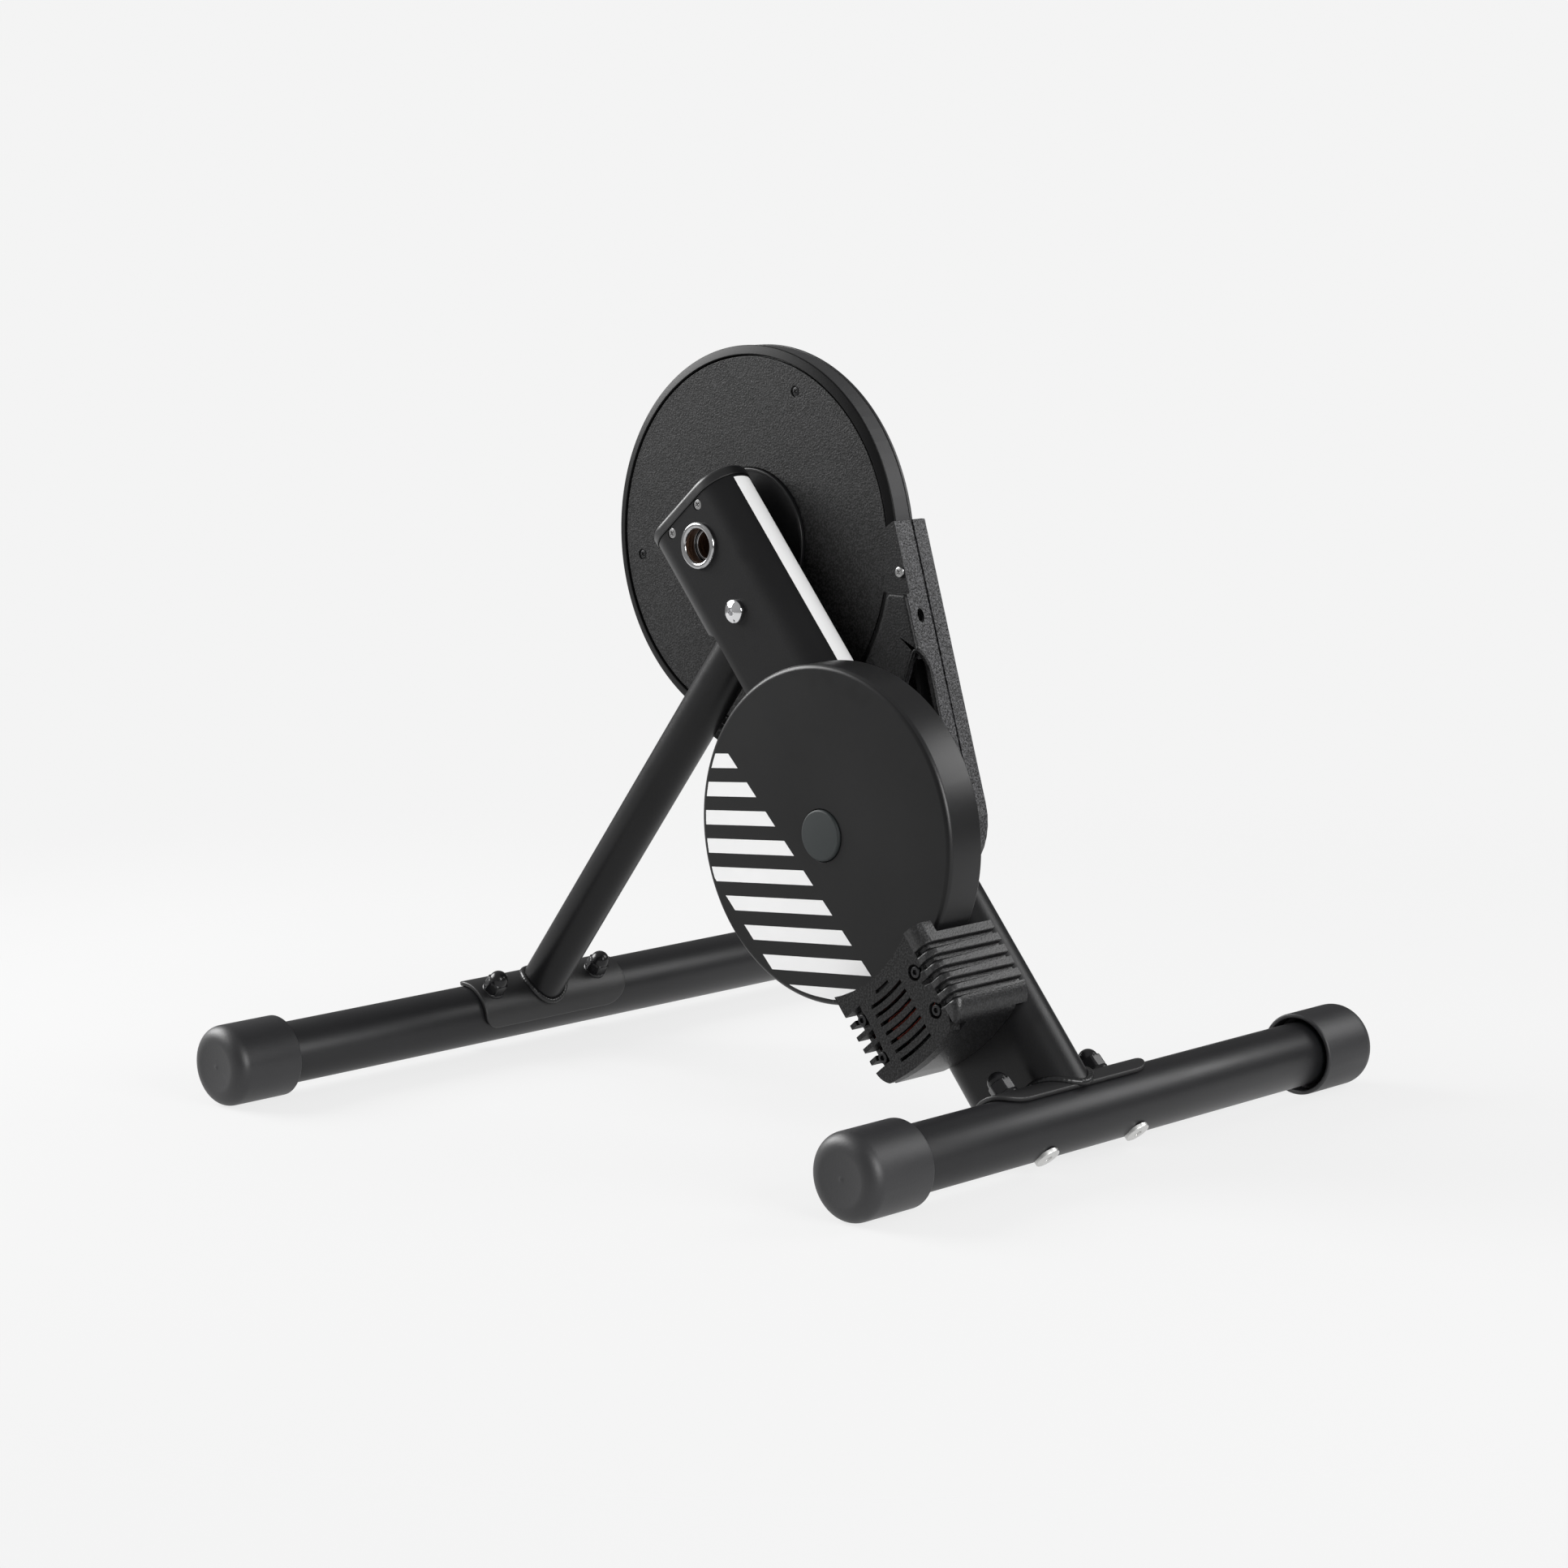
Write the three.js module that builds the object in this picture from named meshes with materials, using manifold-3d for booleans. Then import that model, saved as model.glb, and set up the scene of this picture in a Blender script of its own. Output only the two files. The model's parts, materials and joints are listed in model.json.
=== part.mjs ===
// A direct drive bike trainer: the bike's rear wheel comes off, the frame's dropouts sit on the axle,
// and the chain turns a belt pulley, a flywheel and an electromagnetic brake.
// Millimetres. +X is the way the bike points, +Y is the rider's left and +Z is up. The origin is on
// the floor, midway between the two base tubes and on the bike's centre plane.

import * as THREE from 'three';
import { mergeVertices, toCreasedNormals } from 'three/addons/utils/BufferGeometryUtils.js';
import Module from 'manifold-3d';

const wasm = await Module();
wasm.setup();

// Clearances and overruns
const restGap = 0.3;
const runningGap = 0.6;
const overrun = 8;
const weldTolerance = 0.0005;

// Stance: where the axle, the two base tubes and the flywheel lie
const axleHeight = 339.6;
const axleForward = 46.5;
const tubeSpacing = 468.6;
const flywheelAboveTube = 212.08;
const flywheelSetback = 1;

// Base tubes and their rubber end caps
const frontBaseLength = 583;
const rearBaseLength = 453;
const tubeRadius = 19.4;
const tubeWall = 2;
const capRadius = 25.2;
const capLength = 48;
const capEndThickness = 7;
const capRounding = 8.6;

// Curved saddle plates and the bolts through the tubes
const saddleThickness = 3;
const frontSaddleSpan = 124.5;
const frontSaddleShift = -5;
const frontSaddleCorners = [11, 19];
const rearSaddleSpan = 130;
const rearSaddleCorners = [18, 18];
const saddleWrap = THREE.MathUtils.degToRad(136);
const rearSaddleTurn = THREE.MathUtils.degToRad(5.2);
const tongueThickness = 3;
const frontBoltSpacing = 89.4;
const rearBoltSpacing = 79.6;
const boltRadius = 4;
const boltHeadRadius = 6.9;
const boltHeadHeight = 3;
const boltSocketRadius = 2.9;
const boltSocketDepth = 1.8;
const nutFlatRadius = 6.5;
const nutHexHeight = 8.4;
const nutDomeRadius = 6.2;
const nutBoreDepth = 9.5;

// The arm: a flat-oval tube
const armDepth = 79;
const armWidth = 38.1;
const armWall = 3;
const armLeftFace = 52.15;
const armTop = 23.9;
const armFootOverEdge = 0.64;
const armFootOffset = 19.63;
const armMouthAboveStrut = 1.17;
const armMouthBelowStrut = 28.59;
const armMouthDepth = 26.4;

// The cap on the arm's top and its two screws
const endCapHeight = 7;
const endCapOverhang = 0.7;
const endCapRounding = 2.2;
const plugDepth = 8;
const plugWall = 5.5;
const capScrewOffset = 14.7;
const capScrewLevel = 20.3;
const capScrewRadius = 1.9;
const capScrewHeadRadius = 3.3;
const capScrewHeadHeight = 2;
const capScrewLength = 9;

// The round strut and the bolt that holds its top between the arm's walls
const strutRadius = 14.3;
const strutWall = 2.5;
const strutBoltLevel = -49.5;
const strutMeetLevel = -52.4;
const strutTopLength = 14;
const strutFootWeld = 1.4;
const strutBoltRadius = 4;
const strutBoltHeadRadius = 7.2;
const strutBoltHeadHeight = 4.4;
const strutNutRadius = 6.5;
const strutNutHeight = 3.4;

// The axle: a steel bush in the arm, a hollow axle and the freehub on it
const bushRadius = 14.4;
const bushBoreRadius = 10.4;
const bushProud = 2.5;
const bushInward = 3.4;
const bushChamfer = 0.9;
const axleBoreRadius = 8.4;
const axleSunk = 9.3;
const dropoutSpacing = 130;
const endSpacerRadius = 13;
const endSpacerLength = 8;
const endSpacerSpigot = 6;
const endSpacerBoreRadius = 6.2;
const freehubRadius = 16.1;
const freehubSplineHeight = 1.1;
const freehubSplineCount = 9;
const freehubSplineShare = 0.45;
const freehubBoreRadius = 13.5;
const ratchetRadius = 15;
const ratchetLength = 4;
const ratchetToothDepth = 1.1;
const ratchetTeeth = 24;
const freehubBearingLength = 7;

// The big pulley, its cover and hub cover
const pulleyFace = 6.8;
const pulleyWidth = 17.3;
const flangeRadius = 120.8;
const flangeWidth = 2;
const beltSeatRadius = 117.3;
const rimInnerRadius = 107;
const webThickness = 5;
const webSunk = 5.4;
const hubRadius = 27;
const coverRadius = 114;
const coverThickness = 2;
const coverSunk = 0.5;
const coverLedge = 2.8;
const coverScrewCircle = 100.6;
const coverScrewCount = 3;
const coverScrewStart = THREE.MathUtils.degToRad(112.5);
const coverScrewRadius = 2.6;
const coverScrewHeadHeight = 1.3;
const coverScrewShankRadius = 1.5;
const coverScrewLength = 6;
const hubCoverRadius = 45.4;
const hubCoverProud = 2;
const wheelBearingRadius = 17;
const wheelBearingWidth = 7.5;

// The flywheel, its shaft, bearings, centre cap and small pulley
const flywheelRadius = 100.8;
const flywheelWidth = 27.5;
const flywheelGap = 4.9;
const flywheelRounding = 3.4;
const flywheelRimInner = 79;
const flywheelWebThickness = 12;
const flywheelHubRadius = 23;
const shaftRadius = 8;
const shaftEndSunk = 3;
const flywheelCapRadius = 15.4;
const flywheelCapProud = 1.8;
const flywheelCapDepth = 2.4;
const sleeveRadius = 20;
const shaftBearingRadius = 16;
const shaftBearingWidth = 9;
const smallFlangeRadius = 21.5;
const smallSeatRadius = 18;
const smallFlangeWidth = 1.6;

// The belt
const beltThickness = 2.8;

// The belt guard in two halves
const guardBigRadius = 124.3;
const guardSmallRadius = 41;
const guardWall = 2.4;
const guardFront = 13.4;
const guardBack = -16.2;
const guardSeam = -4.4;
const guardTopAboveAxle = 17.6;
const guardStepBelowScrew = 12.6;
const guardStepDepth = 2.6;
const guardLipRadius = 117.2;
const guardWebRadius = 122.7;
const guardFrontEnd = THREE.MathUtils.degToRad(-68);
const guardBossRadius = 6;
const guardUpperBossAboveFlywheel = 57;
const guardLowerBossBelowFlywheel = 31;
const guardShaftHoleRadius = 22.6;
const guardScrewOffBelt = 3.95;
const guardScrewAlongBelt = 36.83;
const guardScrewHeadRadius = 3;
const guardScrewHeadHeight = 1.4;
const guardScrewShankRadius = 1.6;
const guardScrewLength = 11;
const guardScrewBossRadius = 3.2;
const ovalHoleRadius = 2.9;
const ovalHoleLength = 9;
const ovalHoleBelowAxle = 38;
const ovalHoleSide = 5.2;
const pocketTopBelowAxle = 55;
const pocketBottomBelowAxle = 100;
const pocketTopForward = -144;
const pocketFrontForward = -127;
const pocketRearForward = -154;
const pocketCorner = 3;

// The brake housing that straddles the flywheel's lower edge
const brakeNearFace = 102.3;
const brakeHalfDepth = 36.5;
const brakeRearProud = 6.2;
const brakeMouthRadius = 104.6;
const brakeCoverTopRadius = 93.9;
const brakeCoverBottomRadius = 151.4;
const brakeCoverCorner = 15;
const brakeCoverThickness = 9;
const brakeCoverSkin = 3;
const brakeProngTop = 86.8;
const brakeCoverRearDepth = 34.4;
const brakeBlockProud = 0.8;
const brakeBlockChamfer = 2.6;
const brakeWall = 3.2;
const brakeCorner = 9;
const brakeHeelInward = 9;
const ribCount = 5;
const ribPitch = 8;
const ribTop = 100.9;
const ribGrooveWidth = 2.2;
const ribGrooveDepth = 3.6;
const gapCount = 5;
const gapTop = 100.6;
const gapPitch = 8.05;
const gapHeight = 5.2;
const gapReach = 14.5;
const combThickness = 7.5;
const slotCount = 8;
const slotFirstRadius = 101.6;
const slotPitch = 5.9;
const slotHalfLength = 15;
const slotShortShare = 0.42;
const slotWidth = 2.1;
const brakeScrewAcross = 26.8;
const brakeScrewLevels = [108.2, 133.5];
const brakeScrewRadius = 2;
const brakeScrewHeadRadius = 3.3;
const brakeScrewHeadHeight = 3;
const brakeScrewSocketRadius = 1.5;
const brakeScrewSocketDepth = 1.5;
const brakeScrewLength = 12;
const brakeRecessRadius = 4.9;
const brakeRecessDepth = 3.6;
const brakeBossRadius = 4.6;

// The brake's magnet, windings and control board
const coreThickness = 18;
const poleWidth = 13;
const poleSpacing = 31;
const poleGap = 2.2;
const yokeBottom = 137;
const yokeHeight = 7;
const coilBuild = 5.4;
const coilTop = 110;
const coilBottom = 129;
const boardThickness = 1.6;
const boardLevel = 142.2;
const boardRim = 1.5;

// The power inlet on the brake housing's front face
const inletDrop = 133;
const inletAcross = 70;
const inletFlangeRadius = 6.8;
const inletFlangeThickness = 1.6;
const inletBarrelRadius = 5.4;
const inletBarrelLength = 7.7;
const inletBoreRadius = 4;
const inletBoreDepth = 8.3;
const inletPinRadius = 0.9;
const inletPinLength = 4;

// How finely round things are divided
const wheelSteps = 56;
const tubeSteps = 28;
const smallSteps = 14;
const screwSteps = 10;
const arcSteps = 6;
const slotSteps = 3;
const edgeSteps = 3;

// Places that follow from the sizes above
const armRightFace = armLeftFace - armWidth;
const armMiddle = (armLeftFace + armRightFace) / 2;
const axleFromRearTube = new THREE.Vector2(axleForward + tubeSpacing / 2, axleHeight - capRadius);
const armLean = axleFromRearTube.angle() + Math.asin(armFootOffset / axleFromRearTube.length());
const flywheelDrop = Math.sqrt(axleFromRearTube.lengthSq() - armFootOffset ** 2) - flywheelAboveTube;
const pulleyBack = pulleyFace - pulleyWidth;
const flywheelBack = armLeftFace + flywheelGap;
const flywheelFace = flywheelBack + flywheelWidth;
const flywheelMiddle = (flywheelBack + flywheelFace) / 2;
const saddleInner = tubeRadius + restGap;
const saddleOuter = saddleInner + saddleThickness;
const rearSaddleFrontEdge = armLean - rearSaddleTurn - saddleWrap / 2;
const armFootDrop = -(saddleInner + saddleOuter) / 2 * Math.sin(rearSaddleFrontEdge) - armFootOverEdge;
const axleRadius = bushBoreRadius - restGap;
const bushLeftFace = armLeftFace + bushProud;
const bushRightFace = armRightFace - bushInward;
const axleLeftEnd = bushLeftFace - axleSunk;
const axleRightEnd = -dropoutSpacing / 2 + endSpacerLength;
const brakeSeat = armLeftFace + restGap;
const brakeCoverBack = brakeNearFace - brakeCoverThickness;
const brakeBodyTop = brakeCoverBack - restGap;
const brakeRearDepth = armDepth / 2 + brakeRearProud;
const brakeBlockDepth = brakeRearDepth - brakeCoverRearDepth - restGap;
const beltInner = beltSeatRadius + restGap;
const smallBeltInner = smallSeatRadius + restGap;

// Materials, one for each finish seen in the photograph
const finishes = {
  satinBlack: { color: 0x17181a, roughness: 0.42, metalness: 0.1 },
  grainedBlack: { color: 0x141516, roughness: 0.62, metalness: 0 },
  smoothPlastic: { color: 0x121314, roughness: 0.38, metalness: 0 },
  rubber: { color: 0x1a1b1d, roughness: 0.72, metalness: 0 },
  belt: { color: 0x222326, roughness: 0.6, metalness: 0 },
  castBlack: { color: 0x131416, roughness: 0.55, metalness: 0.3 },
  flywheelBlack: { color: 0x16171a, roughness: 0.4, metalness: 0.2 },
  capGrey: { color: 0x2a2f30, roughness: 0.6, metalness: 0 },
  brightSteel: { color: 0xc9cbcc, roughness: 0.22, metalness: 1 },
  darkSteel: { color: 0x2c2d30, roughness: 0.35, metalness: 0.9 },
  blackScrew: { color: 0x101112, roughness: 0.35, metalness: 0.6 },
  bearingSteel: { color: 0x9a9da0, roughness: 0.3, metalness: 1 },
  laminatedSteel: { color: 0x5b5d60, roughness: 0.5, metalness: 0.8 },
  copper: { color: 0x8a2a1c, roughness: 0.45, metalness: 0.5 },
  board: { color: 0x1d4a2c, roughness: 0.5, metalness: 0 },
};

function material(finish) {
  const made = new THREE.MeshStandardMaterial(finishes[finish]);
  made.name = finish;
  return made;
}

// A closed geometry as a solid that can be joined and cut
function solid(geometry) {
  const bare = new THREE.BufferGeometry();
  bare.setAttribute('position', geometry.getAttribute('position').clone());
  if (geometry.index) bare.setIndex(geometry.index.clone());
  const merged = mergeVertices(bare, weldTolerance);
  const corners = merged.index.array;
  const kept = [];
  for (let i = 0; i < corners.length; i += 3) {
    const [a, b, c] = [corners[i], corners[i + 1], corners[i + 2]];
    if (a !== b && b !== c && c !== a) kept.push(a, b, c);
  }
  const vertProperties = new Float32Array(merged.getAttribute('position').array);
  const triVerts = new Uint32Array(kept);
  return new wasm.Manifold(new wasm.Mesh({ numProp: 3, vertProperties, triVerts }));
}

// A solid as a named mesh with its finish
function piece(name, body, finish) {
  const mesh = body.getMesh();
  const geometry = new THREE.BufferGeometry();
  geometry.setAttribute('position', new THREE.BufferAttribute(new Float32Array(mesh.vertProperties), 3));
  geometry.setIndex(new THREE.BufferAttribute(new Uint32Array(mesh.triVerts), 1));
  const made = new THREE.Mesh(toCreasedNormals(geometry, THREE.MathUtils.degToRad(30)), material(finish));
  made.name = name;
  return made;
}

// A shape in the x, z plane, given as x and y, thickened along Y
function plate(shape, from, to, steps = arcSteps) {
  const geometry = new THREE.ExtrudeGeometry(shape, {
    depth: to - from,
    bevelEnabled: false,
    curveSegments: steps,
  });
  geometry.rotateX(Math.PI / 2);
  geometry.translate(0, to, 0);
  return solid(geometry);
}

// A shape in the x, y plane, drawn up along Z
function bar(shape, from, to, steps = arcSteps) {
  const geometry = new THREE.ExtrudeGeometry(shape, {
    depth: to - from,
    bevelEnabled: false,
    curveSegments: steps,
  });
  geometry.translate(0, 0, from);
  return solid(geometry);
}

// A body turned about the Y axis from radius and height pairs, outer side first and upward
function turned(profile, steps) {
  const points = profile.map(([radius, height]) => new THREE.Vector2(radius, height));
  const first = points[0];
  if (first.x > 0) points.push(first.clone());
  return solid(new THREE.LatheGeometry(points, steps));
}

// A ring about the Y axis
function ring(outer, inner, from, to, steps = tubeSteps) {
  return turned([[outer, from], [outer, to], [inner, to], [inner, from]], steps);
}

// A round bar about the Y axis
function rod(radius, from, to, steps = smallSteps) {
  return turned([[0, from], [radius, from], [radius, to], [0, to]], steps);
}

// A body turned about the Y axis, stood up so that its height runs along Z
function upright(body) {
  return body.rotate([90, 0, 0]);
}

// A box from two opposite corners
function block(low, high) {
  const geometry = new THREE.BoxGeometry(high[0] - low[0], high[1] - low[1], high[2] - low[2]);
  geometry.translate((high[0] + low[0]) / 2, (high[1] + low[1]) / 2, (high[2] + low[2]) / 2);
  return solid(geometry);
}

// An outline of straight sides with its corners rounded by the given radii
function rounded(corners, radii) {
  const shape = new THREE.Shape();
  corners.forEach((corner, i) => {
    const here = new THREE.Vector2(...corner);
    const before = new THREE.Vector2(...corners[(i + corners.length - 1) % corners.length]);
    const after = new THREE.Vector2(...corners[(i + 1) % corners.length]);
    const inward = before.sub(here).normalize();
    const onward = after.sub(here).normalize();
    const half = inward.angleTo(onward) / 2;
    const back = radii[i] / Math.tan(half);
    const start = here.clone().addScaledVector(inward, back);
    const end = here.clone().addScaledVector(onward, back);
    if (i === 0) shape.moveTo(start.x, start.y);
    else shape.lineTo(start.x, start.y);
    if (radii[i] > 0) {
      const middle = inward.add(onward).normalize();
      const centre = here.clone().addScaledVector(middle, radii[i] / Math.sin(half));
      const from = start.sub(centre).angle();
      const to = end.sub(centre).angle();
      const turn = THREE.MathUtils.euclideanModulo(to - from, 2 * Math.PI);
      shape.absarc(centre.x, centre.y, radii[i], from, to, turn > Math.PI);
    }
  });
  shape.closePath();
  return shape;
}

// A flat oval, long along x, with a middle and an inset from its full size
function flatOval(depth, width, middle, inset) {
  const radius = width / 2 - inset;
  const reach = (depth - width) / 2;
  const shape = new THREE.Shape();
  shape.absarc(reach, middle, radius, -Math.PI / 2, Math.PI / 2, false);
  shape.absarc(-reach, middle, radius, Math.PI / 2, 3 * Math.PI / 2, false);
  shape.closePath();
  return shape;
}

// A regular six-sided outline with the given distance to its flats
function hexagon(flat) {
  const shape = new THREE.Shape();
  for (let i = 0; i < 6; i += 1) {
    const angle = (i + 0.5) * Math.PI / 3;
    const radius = flat / Math.cos(Math.PI / 6);
    if (i === 0) shape.moveTo(radius * Math.cos(angle), radius * Math.sin(angle));
    else shape.lineTo(radius * Math.cos(angle), radius * Math.sin(angle));
  }
  shape.closePath();
  return shape;
}

// Points of a quarter round, from its side to its top, each placed by the caller
function quarterTurn(radius, place) {
  const points = [];
  for (let i = 0; i <= edgeSteps; i += 1) {
    const angle = i / edgeSteps * Math.PI / 2;
    const across = i === edgeSteps ? 0 : radius * Math.cos(angle);
    points.push(place(across, radius * Math.sin(angle)));
  }
  return points;
}

// An outline between two radii about the origin, from one angle to another
function arcBand(inner, outer, from, to) {
  const shape = new THREE.Shape();
  shape.absarc(0, 0, outer, from, to, false);
  shape.absarc(0, 0, inner, to, from, true);
  shape.closePath();
  return shape;
}

// The trainer, with a turned group for each piece that leans
const trainer = new THREE.Group();
trainer.name = 'direct_drive_trainer';

// In the arm's group x points forward and down, square to the arm, and z runs up along it
const arm = new THREE.Group();
arm.position.set(axleForward, 0, axleHeight);
arm.rotation.y = Math.PI / 2 - armLean;
arm.updateMatrixWorld(true);
trainer.add(arm);

// Wheels on the axle are upright, and what turns with the flywheel sits down along the arm
const wheels = new THREE.Group();
wheels.position.set(axleForward, 0, axleHeight);
trainer.add(wheels);
const flywheelCentre = new THREE.Vector3(-flywheelSetback, 0, -flywheelDrop);
const flywheelGroup = new THREE.Group();
flywheelGroup.position.copy(flywheelCentre).applyMatrix4(arm.matrixWorld);
trainer.add(flywheelGroup);

const frontTubeCentre = new THREE.Vector3(tubeSpacing / 2, 0, capRadius);
const rearTubeCentre = new THREE.Vector3(-tubeSpacing / 2, 0, capRadius);
const strutMeeting = new THREE.Vector3(0, 0, strutMeetLevel).applyMatrix4(arm.matrixWorld);

// A group whose z axis points from a base tube's centre along a direction in the x, z plane
function leaningGroup(centre, towards) {
  const group = new THREE.Group();
  group.position.copy(centre);
  group.rotation.y = Math.atan2(towards.x, towards.z);
  trainer.add(group);
  return group;
}

const strutDirection = strutMeeting.clone().sub(frontTubeCentre).normalize();
const armDirection = new THREE.Vector3(Math.cos(armLean), 0, Math.sin(armLean));
const rearDirection = armDirection.clone().applyAxisAngle(new THREE.Vector3(0, 1, 0), rearSaddleTurn);
const frontGroup = leaningGroup(frontTubeCentre, strutDirection);
const rearGroup = leaningGroup(rearTubeCentre, rearDirection);

// The rear tube's centre as seen from the arm
const rearTubeInArm = rearTubeCentre.clone().applyMatrix4(arm.matrixWorld.clone().invert());

// Main arm: the flat-oval tube, open at its foot over the rear saddle and at its front for the strut
function mainArm() {
  const lowest = rearTubeInArm.z - tubeRadius - overrun;
  const outer = bar(flatOval(armDepth, armWidth, armMiddle, 0), lowest, armTop);
  const hollow = bar(flatOval(armDepth, armWidth, armMiddle, armWall), lowest - overrun, armTop + overrun);
  const saddleSpace = rod(saddleOuter + restGap, armRightFace - overrun, armLeftFace + overrun, tubeSteps)
    .translate([rearTubeInArm.x, 0, rearTubeInArm.z]);
  const lean = THREE.MathUtils.radToDeg(Math.PI / 2 - armLean);
  const level = (forward, top, ahead) => block(
    [-ahead, armRightFace - overrun, -armDepth],
    [forward, armLeftFace + overrun, top],
  ).rotate([0, -lean, 0]).translate([rearTubeInArm.x, 0, rearTubeInArm.z]);
  const underFoot = level(armDepth * 2, -armFootDrop, 0);
  const behindFoot = level(tubeRadius, tubeRadius / 2, armDepth);
  const acrossArm = new THREE.Vector3(Math.sin(armLean), 0, -Math.cos(armLean));
  const strutAcross = -strutDirection.dot(acrossArm);
  const strutAlong = -strutDirection.dot(armDirection);
  const strutAtMouth = strutMeetLevel + armDepth / 2 * strutAlong / strutAcross;
  const strutSpread = strutRadius / strutAcross;
  const mouth = block(
    [armMouthDepth, armRightFace - overrun, strutAtMouth - strutSpread - armMouthBelowStrut],
    [armDepth, armLeftFace + overrun, strutAtMouth + strutSpread + armMouthAboveStrut],
  );
  const across = (radius, x, z, from, steps) => rod(radius + restGap, from, armLeftFace + overrun, steps)
    .translate([x, 0, z]);
  return outer
    .subtract(hollow)
    .subtract(saddleSpace)
    .subtract(underFoot)
    .subtract(behindFoot)
    .subtract(mouth)
    .subtract(across(bushRadius, 0, 0, armRightFace - overrun, tubeSteps))
    .subtract(across(strutBoltRadius, 0, strutBoltLevel, armRightFace - overrun, smallSteps))
    .subtract(across(sleeveRadius, -flywheelSetback, -flywheelDrop, armRightFace - overrun, tubeSteps))
    .subtract(across(capScrewHeadRadius, capScrewOffset, capScrewLevel, armMiddle, screwSteps))
    .subtract(across(capScrewHeadRadius, -capScrewOffset, capScrewLevel, armMiddle, screwSteps));
}
arm.add(piece('main_arm', mainArm(), 'satinBlack'));

// End cap: a rounded lid on the arm's top with a plug that reaches inside
function armEndCap() {
  const bottom = armTop + restGap;
  const lid = bar(
    flatOval(armDepth, armWidth, armMiddle, -endCapOverhang),
    bottom,
    bottom + endCapHeight - endCapRounding,
  );
  const crown = bar(
    flatOval(armDepth, armWidth, armMiddle, endCapRounding - endCapOverhang),
    bottom,
    bottom + endCapHeight,
  );
  const plug = bar(flatOval(armDepth, armWidth, armMiddle, armWall + restGap), bottom - plugDepth, bottom);
  const plugHollow = bar(
    flatOval(armDepth, armWidth, armMiddle, armWall + plugWall),
    bottom - plugDepth - overrun,
    bottom,
  );
  const screwHole = (x) => rod(capScrewRadius + restGap, armMiddle, armLeftFace, screwSteps)
    .translate([x, 0, capScrewLevel]);
  return lid
    .add(crown)
    .add(plug)
    .subtract(plugHollow)
    .subtract(screwHole(capScrewOffset))
    .subtract(screwHole(-capScrewOffset));
}
arm.add(piece('arm_end_cap', armEndCap(), 'smoothPlastic'));

// Cap screws: small countersunk heads, flush with the arm's left face
function capScrew() {
  const face = armLeftFace;
  return turned([
    [0, face - capScrewLength],
    [capScrewRadius, face - capScrewLength],
    [capScrewRadius, face - capScrewHeadHeight],
    [capScrewHeadRadius, face],
    [0, face],
  ], screwSteps);
}
[['cap_screw_front', capScrewOffset], ['cap_screw_rear', -capScrewOffset]].forEach(([name, x]) => {
  const screw = piece(name, capScrew(), 'brightSteel');
  screw.position.set(x, 0, capScrewLevel);
  arm.add(screw);
});

// Front strut: a round tube from the front saddle to the bolt between the arm's walls
const strutLength = strutMeeting.distanceTo(frontTubeCentre);
frontGroup.updateMatrixWorld(true);
const strutBoltInStrut = new THREE.Vector3(0, 0, strutBoltLevel)
  .applyMatrix4(arm.matrixWorld)
  .applyMatrix4(frontGroup.matrixWorld.clone().invert());
function frontStrut() {
  const foot = saddleOuter + restGap;
  const saddleSpace = rod(foot, -strutRadius * 2, strutRadius * 2, tubeSteps);
  const tube = ring(strutRadius, strutRadius - strutWall, 0, strutLength + strutTopLength);
  const weld = ring(strutRadius + strutWall, strutRadius - strutWall, 0, foot + strutFootWeld);
  const hole = rod(strutBoltRadius + restGap, -strutRadius * 2, strutRadius * 2)
    .translate([strutBoltInStrut.x, 0, strutBoltInStrut.z]);
  return upright(tube).add(upright(weld)).subtract(saddleSpace).subtract(hole).translate([0, armMiddle, 0]);
}
frontGroup.add(piece('front_strut', frontStrut(), 'satinBlack'));

// Strut bolt: a domed head on the arm's left face, and its nut on the right
function strutBolt() {
  const face = armLeftFace + restGap;
  const crown = strutBoltHeadRadius / 2;
  return turned([
    [0, armRightFace - strutNutHeight],
    [strutBoltRadius, armRightFace - strutNutHeight],
    [strutBoltRadius, face],
    [strutBoltHeadRadius, face],
    [strutBoltHeadRadius, face + strutBoltHeadHeight / 3],
    [strutBoltHeadRadius - strutBoltHeadHeight / 3, face + strutBoltHeadHeight * 3 / 4],
    [crown, face + strutBoltHeadHeight],
    [crown, face + strutBoltHeadHeight / 2],
    [0, face + strutBoltHeadHeight / 2],
  ], smallSteps);
}
const strutBoltMesh = piece('strut_bolt', strutBolt(), 'brightSteel');
strutBoltMesh.position.set(0, 0, strutBoltLevel);
arm.add(strutBoltMesh);
const strutNutTop = armRightFace - restGap;
const strutNutBody = plate(hexagon(strutNutRadius), strutNutTop - strutNutHeight, strutNutTop)
  .subtract(rod(strutBoltRadius + restGap, strutNutTop - strutNutHeight * 2, strutNutTop + overrun));
const strutNut = piece('strut_nut', strutNutBody, 'darkSteel');
strutNut.position.set(0, 0, strutBoltLevel);
arm.add(strutNut);

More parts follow.
